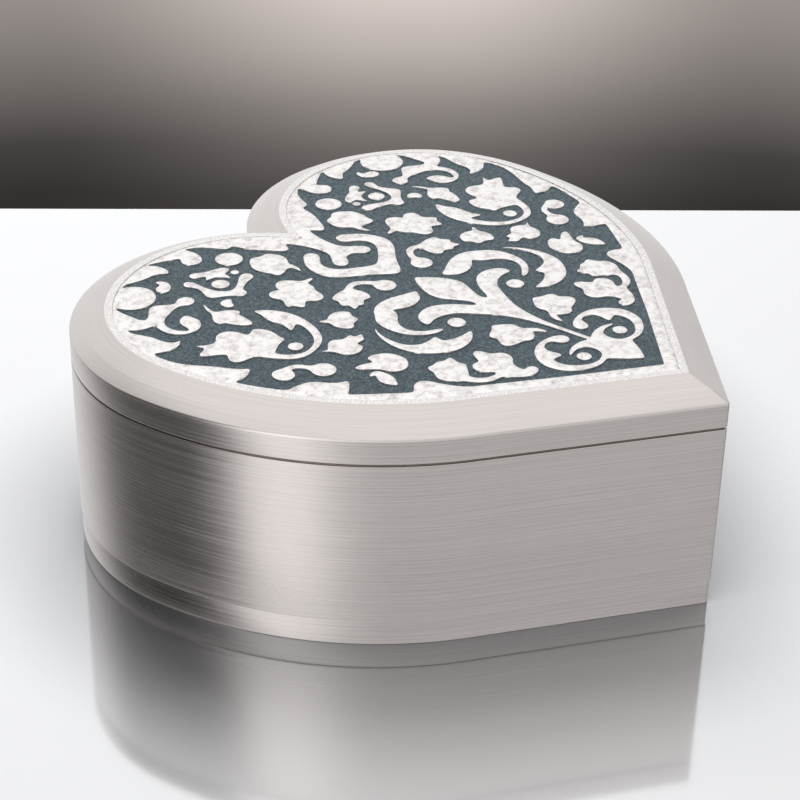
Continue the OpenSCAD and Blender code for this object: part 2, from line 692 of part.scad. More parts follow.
module ratchet_wheel() color("gray") in_movement()
  translate([spring_x, axis_y, wheel_z + web_t + 0.3]) difference() {
    linear_extrude(1) polygon([for (i = [0:15]) for (k = [[0, ratchet_r], [20.5, ratchet_r - 0.5]])
      [k[1] * cos(22.5 * i + k[0]), k[1] * sin(22.5 * i + k[0])]]);
    translate([0, 0, -1]) cylinder(r = arbor_r, h = 3);
  }

module winding_arbor() color("gray") in_movement() translate([spring_x, axis_y, 0]) {
  rod(arbor_r, key_z + 0.4, spring_z);
  rod(core_r, spring_z - fine, spring_z + spring_w);
  rod(arbor_pivot_r, spring_z + spring_w - fine, housing_top);
}

module winding_key() color("silver") in_movement() translate([spring_x, axis_y, key_z]) difference() {
  union() {
    cylinder(r = arbor_r + 1.3, h = key_hub_h);
    translate([0, key_t / 2, key_wing_h / 2]) rotate([90, 0, 0]) linear_extrude(key_t) difference() {
      union() {
        square([key_w - key_wing_h, key_wing_h * 0.6], center = true);
        for (s = [-1, 1]) translate([s * (key_w - key_wing_h) / 2, 0]) circle(key_wing_h / 2);
      }
      for (s = [-1, 1]) translate([s * (key_w - key_wing_h) / 2, 0]) circle(key_wing_h / 4);
    }
  }
  translate([0, 0, -1]) cylinder(r = arbor_r, h = key_hub_h + 2);
}

// ---------- governor ----------
module governor_shaft() color("gray") in_movement()
  along_x(gear_x, gov_y, gov_z) cylinder(r = tail_r, h = frame_end - gear_x);

module governor_pinion() color("goldenrod") in_movement() along_x(gear_x, gov_y, gov_z) difference() {
  rotate(gov_angle + 180 + 180 / gov_pinion_teeth) spur_gear(gov_pinion_teeth, gov_module, gear_t);
  translate([0, 0, -1]) cylinder(r = tail_r, h = gear_t + 2);
}

module worm_wheel() color("white") in_movement() along_x(worm_wheel_x, gov_y, gov_z) difference() {
  rotate(180 / worm_wheel_teeth) spur_gear(worm_wheel_teeth, gov_module, gear_t);
  translate([0, 0, -1]) cylinder(r = tail_r, h = gear_t + 2);
  for (i = [0:3]) rotate(90 * i) translate([2.6, 0, -1]) cylinder(r = 0.9, h = gear_t + 2);
}

// Upright shaft with a single right-hand thread: a round set off its axis and twisted
module worm() color("gray") in_movement() translate([fly_x, fly_y, 0]) {
  turns = 3;
  translate([0, 0, gov_z - turns * worm_pitch / 2])
    linear_extrude(turns * worm_pitch, twist = -360 * turns, slices = 12 * turns, $fn = 20)
      rotate(90) translate([worm_eccentric, 0]) circle(worm_r - 0.1, $fn = 20);
  rod(worm_core, fly_z - 0.4, brake_z + brake_t);
  rod(pivot_r, bed_top - 0.8, fly_z);
  rod(pivot_r, brake_z + brake_t - fine, bridge_z + bridge_t);
}

module fly() color("black") in_movement() translate([fly_x, fly_y, fly_z]) difference() {
  union() {
    cylinder(r = worm_r + 0.2, h = fly_h);
    for (s = [0, 180]) rotate(s) translate([0, -0.25, 0]) cube([fly_r, 0.5, fly_h]);
  }
  translate([0, 0, -1]) cylinder(r = worm_core, h = fly_h + 2);
}

module brake_disc() color("goldenrod") in_movement() translate([fly_x, fly_y, 0]) difference() {
  rod(brake_r, brake_z, brake_z + brake_t);
  rod(worm_core, brake_z - 1, brake_z + brake_t + 1);
}

// ---------- lid-operated stop ----------
module stop_rod() color("gray") in_movement() {
  translate([rod_x, fly_y, 0]) rod(rod_r, bed_top + 1.2, rod_top);
  translate([fly_x + 1.4, fly_y - 0.4, pad_z]) cube([rod_x - fly_x - 1.4, 0.8, pad_h]);
}

module stop_collar() color("goldenrod") in_movement() translate([rod_x, fly_y, 0]) difference() {
  rod(1.05, collar_z, collar_z + 0.8);
  rod(rod_r, collar_z - 1, collar_z + 2);
}

module stop_spring() color("steelblue") in_movement() translate([rod_x, fly_y, 0]) {
  turns = 6;
  per_turn = 14;
  steps = turns * per_turn;
  foot = bed_top + 2.6 + 0.15;
  top = collar_z - 0.15;
  wire = 0.14;
  mid = rod_r + 0.3;
  ring = function (k) [for (j = [0:4]) let (turn = 360 * k / per_turn, r = mid + wire * cos(72 * j))
    [r * cos(turn), r * sin(turn), foot + (top - foot) * k / steps + wire * sin(72 * j)]];
  polyhedron(
    [for (k = [0:steps]) each ring(k)],
    concat([[0, 1, 2, 3, 4]],
      [for (k = [0:steps - 1]) for (j = [0:4])
        [5 * k + j, 5 * k + 5 + j, 5 * k + 5 + (j + 1) % 5, 5 * k + (j + 1) % 5]],
      [[for (j = [4:-1:0]) 5 * steps + j]]));
}

// ---------- ornament of the lid ----------
// Heart width and length that the outlines are drawn for
drawn_for = [104, 101];
// The halves reach this far past the middle, so that they join
over = -0.1;
frieze_rim = 0.35;

// Point at t of the curve from b to c that leaves along u and arrives along v
function on_curve(b, u, c, v, t) = b * (2 * t * t * t - 3 * t * t + 1) + u * (t * t * t - 2 * t * t + t)
  + c * (3 * t * t - 2 * t * t * t) + v * (t * t * t - t * t);

// Closed outline through its points, with a corner where the third value is 1
function outline(p, cuts = 2) = let (n = len(p), q = [for (a = p) [a.x, a.y]]) [
  for (i = [0:n - 1])
    let (
      j = (i + 1) % n,
      leave = p[i].z == 1 ? q[j] - q[i] : (q[j] - q[(i + n - 1) % n]) / 2,
      arrive = p[j].z == 1 ? q[j] - q[i] : (q[(j + 1) % n] - q[i]) / 2)
    for (k = [0:cuts - 1]) on_curve(q[i], leave, q[j], arrive, k / cuts)];

// Where each round bead sits, and its radius
beads = [
  [13.2, 14.3, 2.3], [20.75, 9.7, 1.5], [16.2, 10.55, 0.8], [29.3, -12.3, 1.25], [5, -11.15, 1.85],
  [32.3, -19.95, 1.95], [8.2, -27.2, 1.5], [5.2, -48.4, 1.22]];

// Half of the enamelled field inside the frieze, from the notch round to the point
module field_half() {
  polygon(outline([
    [over, -0.15, 1], [0.55, -0.1], [1.15, -0.4], [1.55, -1.1], [2.15, -1.8], [3, -2.1], [3.7, -1.9],
    [4.2, -1.1], [4.2, -0.3], [3.6, 0.55], [2.9, 1.25], [2.15, 2.05], [1.75, 2.85], [1.6, 3.8],
    [1.6, 5], [1.8, 6.5], [2.15, 8.1], [2.9, 10.2], [3.3, 10.6, 1], [3.8, 9.8], [4.2, 9.1],
    [4.8, 8.65], [5.6, 9.3], [6.3, 10.3], [7, 11.5], [7.7, 12.6], [8.4, 14], [8.85, 15.3],
    [8.95, 16.2], [9.4, 17, 1], [10.4, 16.75], [11, 17.3], [11.4, 18.1], [11.8, 19.1], [12.3, 19.9],
    [13, 20.9], [13.8, 21.5], [14.5, 22], [15.1, 22.3, 1], [15, 21.3], [14.9, 20.3], [15.1, 19],
    [15.5, 18.2], [16.2, 17.45], [17.2, 17.05], [18.2, 17.4], [18.9, 18.2], [19.1, 19.1],
    [18.8, 19.7], [18.3, 20.2], [17.85, 20.7, 1], [19.1, 21.4], [20.1, 22], [21, 22.4], [22, 22.95],
    [23.4, 23.4, 1], [22.7, 22.6], [22.2, 21.5], [22.15, 20.5], [22.3, 19.5], [22.9, 18.5, 1],
    [23.6, 19.1], [24.4, 19.9], [25.3, 20.2], [26.3, 20.2], [28.3, 20.7], [30.2, 21.5], [31.1, 21.6],
    [31.9, 21.2, 1], [30.7, 20.7], [29.5, 19.4], [28.95, 17.7], [29.3, 16.2], [30.3, 14.8],
    [31.6, 14], [33, 13.75], [34.6, 14.1], [35.8, 15], [36.5, 16.2], [36.95, 17.4, 1], [37.35, 16.4],
    [37.5, 15], [37.5, 13], [37.5, 11.6], [37.15, 11], [36.2, 11.2], [35.3, 11.9], [34.3, 12.8],
    [33.3, 13.2], [32.5, 13], [31.8, 12.3], [30.9, 11.4], [30, 10.9, 1], [29.3, 11.5], [28.4, 11.7],
    [27.4, 11.2], [27.05, 10.2], [27.5, 9.2], [28.5, 8.8], [29.4, 9.1], [29.9, 9.85, 1], [31, 9.95],
    [32.2, 9.75], [33.4, 9.45], [34.4, 9.15], [35.4, 8.6], [36.2, 7.8], [36.6, 6.9], [36.65, 6],
    [36.5, 5], [36, 4.1], [35.4, 3.5], [34.95, 4], [34.85, 5], [34.6, 6], [33.8, 6.9], [32.6, 7.3],
    [31.85, 7.2, 1], [31.9, 6.1], [31.85, 5], [32.2, 4], [33, 3.2], [34, 2.75], [35, 2.7], [36, 3],
    [36.95, 3.6], [37.5, 4.4], [37.95, 5.4], [38, 6.6], [37.75, 7.8], [37.35, 8.75, 1], [38.2, 9],
    [39.1, 9.2], [39.9, 9.65], [40.6, 10.3], [41.1, 11.2, 1], [41.4, 9.9], [41, 8.5], [40.6, 7.3],
    [40.4, 6.1], [40.4, 5], [40.3, 4], [39.9, 3.2], [39.3, 2.6], [38.4, 2.65, 1], [39.3, 1.95],
    [40.3, 1.65], [41.5, 1.65], [42.5, 2.05], [43.3, 2.6], [44, 3.1, 1], [44.4, 2.3], [44.4, 1],
    [44.3, -0.5], [43.9, -2.1], [43.25, -3.6], [42.3, -5.2], [41.3, -7], [40.5, -8.8], [39.9, -9.9],
    [39.2, -10.75], [38.6, -11.2, 1], [39.3, -11.6], [40.3, -12.1], [41.5, -12.3], [42.4, -12],
    [43.15, -11.9, 1], [43, -12.8], [42.6, -14], [42.2, -15.2], [41.6, -16.7], [41, -18.2],
    [40.5, -19.1], [40.2, -19.65, 1], [39.3, -19.6], [38.1, -19.9], [36.9, -20.3], [36.1, -20.9],
    [35.5, -21.8], [35, -22.9], [34.2, -23.9], [33.4, -24.5], [32.6, -24.75, 1], [33.2, -25.4],
    [34, -26.05], [35, -26.7], [35.95, -27.1, 1], [35.1, -28.2], [33, -30.6], [30.6, -33.3],
    [29.55, -34.4, 1], [28.8, -33.9], [28.1, -33.3], [27.3, -33.05], [26.5, -33.1], [25.8, -33.7],
    [25.4, -34.7], [25, -36.2], [24.3, -38.1], [23.4, -39.7], [22.1, -40.9], [19, -43.5],
    [13.3, -48.4], [7.4, -53.2], [over, -59.3, 1]]));
}

// Arm of the heart-shaped scroll under the notch
module notch_scroll() {
  polygon(outline([
    [over, -10.5, 1], [0.8, -10], [1.75, -9.1], [2.75, -7.9], [4.1, -6.6], [5.3, -5.6], [6.7, -4.45],
    [7.55, -3.45], [8.25, -2.3], [8.55, -1.1], [8.45, 0.3], [8.05, 1.65], [7.5, 2.85], [6.7, 3.85],
    [5.7, 4.8], [4.9, 5.45], [4.1, 5.6], [3.3, 5.15], [3, 4.2], [3.3, 3.4], [3.9, 2.85], [4.7, 2.25],
    [5.4, 1.45], [5.8, 0.45], [5.8, -0.5], [5.4, -1.5], [4.7, -2.4], [3.7, -3.3], [2.5, -4.15],
    [1.55, -4.95], [over, -5.7, 1]]));
}

module round_leaf() {
  polygon(outline([
    [12.8, 10.1], [12, 11], [10.8, 11.65], [10.1, 11.3], [9.4, 10.75, 1], [8.5, 10.8], [7.8, 10.6],
    [7.25, 9.4], [7, 8.2], [7.3, 7.1], [7.9, 6.3], [8.6, 5.6, 1], [8.5, 4.4], [8.7, 3.4],
    [9.5, 2.2, 1], [9.3, 3.6], [9.5, 4.7, 1], [10.3, 4.7], [11.2, 4.3], [12.3, 4.2], [13, 4.5],
    [12.9, 5.6], [13.4, 6.8], [13.55, 8.2], [13.3, 9.4]]));
}

// The bars and the hook that cross in each lobe
module knot() {
  polygon(outline([
    [21.05, 15.75], [20, 15], [18.9, 14.2], [17.7, 13.9], [16.5, 13.3], [15.7, 12.6], [15.9, 11.9],
    [16.7, 11.55], [17.6, 11.7], [17.75, 10.6], [18.3, 9.5, 1], [18.5, 10.6], [18.9, 11.6],
    [20.05, 12.1], [21.5, 12.3, 1], [20.4, 12.9], [20.2, 13.5], [21, 13.7], [22, 14.2], [22.1, 15.1]]));
  polygon(outline([
    [23.95, 14.6], [24.9, 13.9], [24.9, 13.2], [24.3, 12.4], [24.25, 11.2], [24.75, 9.9], [25.4, 8.6],
    [25.3, 7.9], [24.7, 7.3], [24, 6.9], [23, 6.1], [22.2, 5.3], [22, 4.5], [21.3, 4.2], [20.6, 4.4],
    [20, 4.9], [20.1, 5.6], [19.5, 6.1], [18.3, 6.6], [17.1, 7], [15.9, 7], [15.2, 7.5], [15.1, 8.5],
    [15.8, 9.2], [16.9, 9], [17.9, 8.4], [19.1, 7.6], [20.5, 7], [21.8, 7.1], [22.4, 7.9], [23, 8.9],
    [23.2, 11.2], [23.05, 12.4], [23, 13.2], [23.2, 14.2]]));
}

module commas() {
  polygon(outline([
    [28.9, 15.3], [28.7, 16.4], [27.9, 16.95], [27, 16.9], [26.6, 17.4], [27, 18], [26.6, 18.4, 1],
    [25.9, 17.9], [25.5, 16.9], [25.7, 16], [26.5, 15.1], [27.5, 14.5], [28.4, 14.7]]));
  polygon(outline([
    [26.2, 4.6], [26.1, 3.8], [25.35, 3.2], [24.75, 3.4], [24.65, 4.2], [23.4, 5, 1], [24.2, 5.7],
    [25.1, 5.9], [26, 5.4]]));
}

module acorn_leaf() {
  polygon(outline([
    [27.5, 7.6, 1], [28.7, 6], [29.2, 4.4], [29.9, 3.6], [30.7, 2.8], [31.1, 1.9], [31, 1.4, 1],
    [30.1, 1.1, 1], [30, 0.2], [29.5, -1.1], [28.7, -2.3], [27.9, -2.8], [27.4, -2.3], [27.05, -1],
    [26.9, 0.3], [26.8, 1.1, 1], [25.8, 1.2, 1], [26, 2.1], [26.6, 3], [27.5, 3.8], [28.5, 4.2],
    [28.3, 5.6], [27.9, 6.6]]));
}

module blossom() {
  polygon(outline([
    [19.4, 0], [19.3, 0.9], [18.8, 1.5], [17.9, 1.75], [17.1, 1.45], [16.6, 0.9, 1], [16.4, 1.8],
    [15.6, 2.75], [14.5, 3.05], [13.7, 2.65], [13.1, 2], [12.6, 1.1], [12.2, 0.25, 1], [11.2, -0.1],
    [10.2, -0.3], [10, -0.6], [10.8, -0.9], [12, -0.8, 1], [12.2, -1.9], [12.4, -2.8, 1],
    [13.1, -3.1, 1], [13.35, -4.2], [13.6, -5.25], [14.3, -6], [15.1, -6.2], [15.8, -5.9],
    [16.4, -5.1], [16.9, -4.45, 1], [17.6, -4.9], [18.7, -5.8, 1], [19.1, -4.85], [19.3, -3.8, 1],
    [20.4, -3.65, 1], [19.9, -2.7], [19.2, -1.9], [18.9, -1.2]]));
}

// Flower whose stem swings round into a scroll
module great_flower() {
  polygon(outline([
    [38.6, -0.2, 1], [37.5, -1.3], [36.6, -1.9], [35.8, -2], [35.1, -1.5], [34.4, -0.9],
    [33.5, -0.65], [32.4, -0.9], [31.6, -1.7], [31.2, -2.9], [31.15, -3.9], [30.95, -4.55, 1],
    [30.2, -4.3], [29.3, -3.8], [28.5, -4.4], [28, -5.6], [27.9, -6.8], [28.2, -7.8], [28.6, -8.6, 1],
    [28.3, -9.6, 1], [29.2, -9.8], [30.3, -9.9], [31.6, -10.5], [32.9, -11.1, 1], [32.4, -12.5],
    [31.4, -13.7], [30.2, -14.4], [28.9, -14.5], [27.3, -14.1], [25.9, -13.2], [24.75, -11.7],
    [24, -10.2], [23.6, -8.9], [23.55, -8, 1], [24.2, -8.05], [25.1, -8.6], [26, -8.8, 1],
    [25.4, -7.3], [25.35, -6], [25.5, -4.4], [25.35, -3.3], [24.8, -2.1], [24.65, -0.9],
    [24.65, -0.05, 1], [23.7, -0.8], [22.9, -1.7], [22.2, -3.1], [21.7, -4.65], [21.6, -6],
    [21.7, -7.6], [22.1, -9.2], [22.7, -10.8], [23.5, -12.3], [24.6, -13.7], [26.2, -14.8],
    [27.9, -15.3], [29.6, -15.5], [31.1, -15.3], [32.3, -14.6], [33.3, -13.5], [34.1, -12.1],
    [34.8, -10.6], [35.2, -9.6, 1], [36.5, -9.1], [37.8, -8.9], [38.5, -8.4], [38.8, -7.6],
    [38.5, -6.8], [37.9, -6.3], [37.5, -5.75, 1], [38.1, -5.05], [39.1, -4.25], [39.9, -3.6],
    [40.6, -2.95, 1], [39.9, -2.4], [39.1, -2.25], [38, -1.9, 1], [38.4, -1.1]]));
}

module curled_leaf() {
  polygon(outline([
    [14.15, -7.4, 1], [13.2, -7], [12, -6.8], [11, -6.9], [10, -6.95], [9.2, -6.5], [8.05, -6.25],
    [6.9, -6.6], [6.1, -7.4], [5.3, -8.4], [4.8, -9.6, 1], [6.1, -9.8, 1], [6.3, -8.9], [7.2, -7.85],
    [8.2, -7.45], [9.2, -7.7, 1], [9.1, -8.6], [8.9, -9.6], [8.95, -10.6], [9.4, -11.5],
    [9.9, -12, 1], [10.5, -11.6], [11.1, -11.4], [11.7, -11.9], [12.3, -12.6, 1], [12.8, -11.8, 1],
    [13.6, -12.1], [14.45, -12.4, 1], [14.2, -11.4], [13.85, -10.5, 1], [14.85, -10.15, 1],
    [14.5, -9.4], [13.85, -8.6]]));
}

module small_leaf() {
  polygon(outline([
    [20.95, -10.1, 1], [20.4, -10.5], [19.85, -11.1, 1], [19.1, -10.5], [17.7, -10.25],
    [16.7, -10.55], [16, -11.35], [15.5, -12.3, 1], [16.2, -12.7, 1], [16.5, -13.5], [16.4, -14.6, 1],
    [17.4, -14.8], [18.4, -14.8, 1], [18.8, -15.5], [19.3, -15.7], [19.9, -15.4], [20.45, -14.5],
    [20.75, -13.5], [20.65, -12.5], [20.3, -11.8], [20.7, -11.2], [21.2, -10.5]]));
}

module bead_scroll() {
  polygon(outline([
    [38.8, -16.3], [38.5, -15.1], [37.7, -14.5], [36.9, -14.45], [36, -14.9], [35, -15.1],
    [34, -15.5], [33.2, -16.3], [32.7, -17.5], [32.2, -18.6, 1], [33.6, -18.6, 1], [33.8, -17.4],
    [34.2, -16.8], [34.8, -16.2], [35.4, -16.15, 1], [35.6, -17], [36.1, -17.7], [36.9, -18],
    [37.8, -17.9], [38.5, -17.3]]));
}

module spiked_leaf() {
  polygon(outline([
    [28.4, -16.2, 1], [27.2, -17, 1], [26.4, -16.1], [25.1, -15.4], [24, -15.7, 1], [23.3, -16.7, 1],
    [21.3, -16.6, 1], [21.7, -17.5, 1], [19.95, -17.9, 1], [20.8, -18.5, 1], [21.1, -19.3, 1],
    [22.6, -19], [23.2, -19.2, 1], [22.9, -20.3, 1], [23.8, -20.75], [24.8, -21], [25.9, -20.7],
    [26.7, -19.9], [27.1, -18.9], [27.1, -17.8]]));
}

module wing_leaf() {
  polygon(outline([
    [29.35, -23.3, 1], [28.2, -23.3], [27.3, -23.7], [26.5, -24.2], [25.8, -24.4, 1], [26, -23.2, 1],
    [25.1, -22.9], [24.1, -23.2], [23.1, -23.9], [22.35, -24.85], [22.05, -26.1], [22.15, -27.6],
    [22.9, -28.6], [23.9, -29.3], [25.1, -29.4], [26.2, -28.8], [26.9, -27.8], [26.95, -26.8, 1],
    [27.5, -26], [28.4, -24.95], [29.1, -24.1]]));
  polygon(outline([
    [30, -26.7, 1], [29.35, -26.2], [28.3, -26.1], [27.6, -26.7], [27.5, -28], [27.6, -29],
    [28.2, -30.2], [29.35, -31.5, 1], [29.75, -30.5], [30.1, -29.5], [30, -28.4], [29.4, -27.6],
    [28.8, -27, 1], [29.4, -26.8]]));
}

module great_scroll() {
  polygon(outline([
    [3.6, -16.1], [4.1, -15.9], [5.3, -15.5], [6.7, -14.9], [8, -14.4], [9.4, -14.1], [11, -14.1],
    [12.4, -14.5], [13.6, -15.3], [14.6, -16.3], [15.5, -17.1], [16.1, -18.2], [16.4, -19.4],
    [16.5, -20.9], [16.3, -22.5], [15.8, -23.9], [14.9, -25.2], [13.7, -26.2], [12.6, -26.8],
    [11.4, -27], [11, -26.7, 1], [11.8, -26.1], [12.9, -25.4], [13.9, -24.5], [14.6, -23.3],
    [14.7, -22.1], [14.4, -21.1], [13.9, -20.2], [13.1, -19.5], [12.2, -18.9], [11.3, -18, 1],
    [11.2, -17, 1], [10.5, -17.2], [9.8, -17.8], [8.6, -18.4], [7.4, -18.65], [6.2, -18.5],
    [5.1, -18.1], [4.3, -17.2], [3.9, -16.7]]));
}

module crescent() {
  polygon(outline([
    [17.3, -18.3, 1], [18.1, -18.9], [18.85, -19.95], [19.55, -21.3], [20.05, -22.9], [20.3, -24.65],
    [20.2, -26.3], [19.8, -27.8], [19, -29.2], [18, -30.4], [16.9, -31.35], [15.5, -32.15],
    [14.1, -32.45], [12.5, -32.45], [11.2, -32.1], [10, -31.45], [8.9, -30.4, 1], [10.2, -30.3],
    [11.4, -30.2], [12.8, -29.8], [14.35, -28.85, 1], [14.1, -28.1], [13.9, -27.15, 1], [15.1, -27.2],
    [16.3, -27.1], [17.3, -26.85], [18.25, -26], [18.85, -24.85], [19.05, -23.5], [18.95, -21.9],
    [18.55, -20.3], [18, -19.2]]));
}

module palmette() {
  polygon(outline([
    [over, -13.2, 1], [1.15, -14.5], [1.95, -15.7], [2.7, -17], [3.2, -18.3], [3.4, -19.6],
    [3.2, -20.8], [2.6, -22.1], [1.9, -23.4], [1.3, -24.7], [1.1, -25.6], [1.5, -26.5, 1],
    [2.1, -25.85], [2.8, -24.65], [3.7, -23.3], [4.7, -22.2], [5.85, -21.3], [7.05, -20.8],
    [8.4, -20.75], [9.8, -21.1], [10.8, -21.8], [11.4, -22.7], [11.65, -23.7], [11.4, -24.3],
    [10.6, -24.1], [9.4, -23.9], [8.2, -24.1], [7.05, -24.55], [5.85, -25.4], [4.9, -26.65],
    [3.9, -28.2], [2.9, -29.8], [2.1, -31.35], [1.45, -33.1], [1.05, -34.7], [0.75, -36.3],
    [0.5, -38.5], [0.4, -42], [0.35, -46.2], [over, -46.7, 1]]));
}

// Ring scroll and leaf at the foot of the stem
module foot() {
  polygon(outline([
    [over, -46.6, 1], [0.7, -46], [1.7, -45.6], [2.85, -45.4], [4.25, -45.5], [5.6, -46],
    [6.5, -46.7, 1], [5.6, -46.6], [4.6, -46.4], [3.45, -46.5], [2.65, -46.95], [2.25, -47.85],
    [2.25, -49.05], [2.75, -50.1, 1], [3.85, -50.6], [5, -50.8], [6.4, -50.5], [7.6, -49.65],
    [8.55, -48.65], [9.15, -47.45], [9.25, -46.3], [9.05, -45.3, 1], [8.35, -45.2], [7.6, -45.6],
    [6.7, -45.6, 1], [6.9, -44.5], [7.1, -43.3], [6.8, -42.35], [6, -41.85], [4.8, -41.75],
    [4.2, -42.15], [3.95, -42.95], [3.65, -43.7], [2.75, -44.2], [1.8, -43.7], [1.5, -42.95],
    [1.8, -42.1], [3.05, -41.25], [4.25, -40.95], [5.6, -40.8], [7.2, -41.05], [8.55, -41.65],
    [9.75, -42.65], [10.7, -43.9], [11.2, -45.1], [11.3, -46.3], [11, -47.65], [10.35, -49.05],
    [9.15, -50.2], [7.8, -51.1], [6.4, -51.6], [5, -51.7], [3.6, -51.4, 1], [3.05, -52.2],
    [2.25, -53.4], [1.3, -54.6], [over, -56, 1]]));
}

module stem_leaf() {
  polygon(outline([
    [9, -33.7, 1], [7.9, -33.15], [6.7, -32.8], [5.95, -31.95, 1], [5.1, -32.5], [4.1, -33.5],
    [3.4, -34.4], [3.4, -35.3], [3.7, -36.1], [3.1, -36.8], [2.3, -37.7], [1.9, -38.8],
    [2.2, -40.2, 1], [2.6, -39.2], [3.1, -38.3], [3.6, -37.9, 1], [3.8, -38.6], [5, -39.4],
    [6, -39.4], [6.6, -38.6, 1], [8.2, -38.35], [9.4, -37.85], [9.9, -36.9], [9.4, -35.9],
    [8.6, -35.1, 1], [8.9, -34.5]]));
}

// Two leaves on one bent stem, low on each side
module twin_leaf() {
  polygon(outline([
    [22.35, -31.6, 1], [21.3, -32.1, 1], [20.15, -31.75, 1], [19.4, -32.6, 1], [17.7, -32.6, 1],
    [18.1, -33.7], [18.45, -34.9, 1], [17.85, -35.6, 1], [19, -36.6], [20.1, -37.6],
    [20.85, -38.2, 1], [20.6, -39], [20, -39.9], [19.2, -40.55], [18.2, -40.95], [17.4, -40.8, 1],
    [17.4, -40.2], [18.2, -39.6], [18.7, -38.7], [18.6, -37.5], [17.9, -36.7], [17.1, -36.4],
    [16.3, -37, 1], [15.6, -35.9], [15.1, -35], [14.2, -34.4], [13.5, -35], [13.35, -36.1],
    [13.15, -37.05, 1], [12.3, -37.5], [11.75, -38.2], [11.7, -39.2], [12.2, -40.2], [13, -40.7],
    [13.6, -41.15], [14, -41.95], [14.2, -42.9], [14.1, -43.7, 1], [13.3, -43.35], [12.5, -43.8],
    [12.3, -44.5], [12.7, -45.2], [13.7, -45.5], [14.85, -45.4], [15.85, -44.7], [16.65, -43.9],
    [17.3, -42.95], [17.8, -42, 1], [19, -41.85], [19.8, -41.65], [20.6, -41.1], [21.4, -40.3],
    [22, -39.2], [22.5, -38, 1], [23.3, -37.3], [23.95, -36.3], [24.15, -35.1], [23.7, -34.1],
    [22.95, -33.4, 1], [22.9, -32.4]]));
}

module ornament_half() {
  notch_scroll();
  round_leaf();
  knot();
  commas();
  acorn_leaf();
  blossom();
  great_flower();
  curled_leaf();
  small_leaf();
  bead_scroll();
  spiked_leaf();
  wing_leaf();
  great_scroll();
  crescent();
  palmette();
  foot();
  stem_leaf();
  twin_leaf();
  for (b = beads) translate([b.x, b.y]) circle(b.z, $fn = 28);
}

// Drawn for one heart and stretched to this one
module stretched() scale([heart_w / drawn_for.x, (lobe_r - point_y) / drawn_for.y]) children();

// The foliage, and the frieze round the field, which keeps a rim all the way
module ornament() {
  stretched() for (s = [0, 1]) mirror([s, 0]) ornament_half();
  difference() {
    heart_flat(recess_inset);
    intersection() {
      heart_flat(recess_inset + frieze_rim);
      stretched() for (s = [0, 1]) mirror([s, 0]) field_half();
    }
  }
}

// ---------- lid ----------
module lid_shell() color("silver") place() difference() {
  union() {
    heart_block(seam_depth, seam_depth, lid_z, lid_z + seam_gap);
    heart_block(0, 0, lid_z + seam_gap, band_top);
    heart_block(0, slope_w, band_top, lid_top);
  }
  heart_block(wall - lip_t - lip_gap, wall - lip_t - lip_gap, lid_z - 1, lid_z + lip_h + 0.3);
  heart_block(wall, wall, lid_z - 1, pad_top);
  heart_block(recess_inset, recess_inset, enamel_z, lid_top + 1);
  hinge_seats();
}

module lid_pad() color("midnightblue") place()
  heart_block(wall + lift, wall + lift, pad_top - pad_t, pad_top);

module enamel() color("darkslategray") place()
  heart_block(recess_inset, recess_inset, enamel_z, enamel_z + enamel_t);

module foliage() color("silver") place() translate([0, 0, enamel_z + enamel_t])
  linear_extrude(recess_d - enamel_t) offset(delta = -fine) intersection() {
    heart_flat(recess_inset);
    ornament();
  }

case_wall();
base_pan();
base_screws();
hinge_case_leaf();
hinge_pin();
tray();
clear_cover();
bedplate();
movement_screws();
comb();
comb_base();
comb_screws();
left_bracket();
governor_frame();
frame_screws();
fly_bridge();
housing_plate();
spring_housing();
housing_screws();
mainspring();
stop_bracket();
lid_shell();
enamel();
foliage();
lid_pad();
hinge_lid_leaf();
pinned_cylinder();
cylinder_arbor();
cylinder_pinion();
cylinder_gear();
great_wheel();
click_spring();
winding_arbor();
ratchet_wheel();
winding_key();
governor_shaft();
governor_pinion();
worm_wheel();
worm();
fly();
brake_disc();
stop_rod();
stop_collar();
stop_spring();
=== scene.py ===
import bpy
import bmesh
import math
from mathutils import Matrix, Vector, noise
from mathutils.geometry import delaunay_2d_cdt
from mathutils.kdtree import KDTree


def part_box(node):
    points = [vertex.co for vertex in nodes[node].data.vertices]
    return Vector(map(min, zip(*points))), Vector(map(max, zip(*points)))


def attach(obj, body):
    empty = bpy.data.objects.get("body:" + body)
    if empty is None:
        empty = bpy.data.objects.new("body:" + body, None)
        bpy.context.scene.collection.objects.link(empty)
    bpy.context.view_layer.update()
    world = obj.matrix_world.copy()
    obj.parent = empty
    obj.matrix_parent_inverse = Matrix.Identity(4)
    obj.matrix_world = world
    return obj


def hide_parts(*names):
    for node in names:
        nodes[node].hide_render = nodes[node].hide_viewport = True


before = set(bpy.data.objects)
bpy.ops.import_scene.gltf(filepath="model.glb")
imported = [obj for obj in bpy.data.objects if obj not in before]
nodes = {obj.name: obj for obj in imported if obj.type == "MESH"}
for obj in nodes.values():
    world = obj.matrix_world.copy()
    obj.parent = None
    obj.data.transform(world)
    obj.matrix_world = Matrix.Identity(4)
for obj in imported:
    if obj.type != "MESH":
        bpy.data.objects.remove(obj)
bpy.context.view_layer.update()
mm = 0.001
touching = 1e-6  # corners this close are one
sharpTurn = math.radians(35)  # faces that meet at more than this keep a hard edge
print("frame loaded")

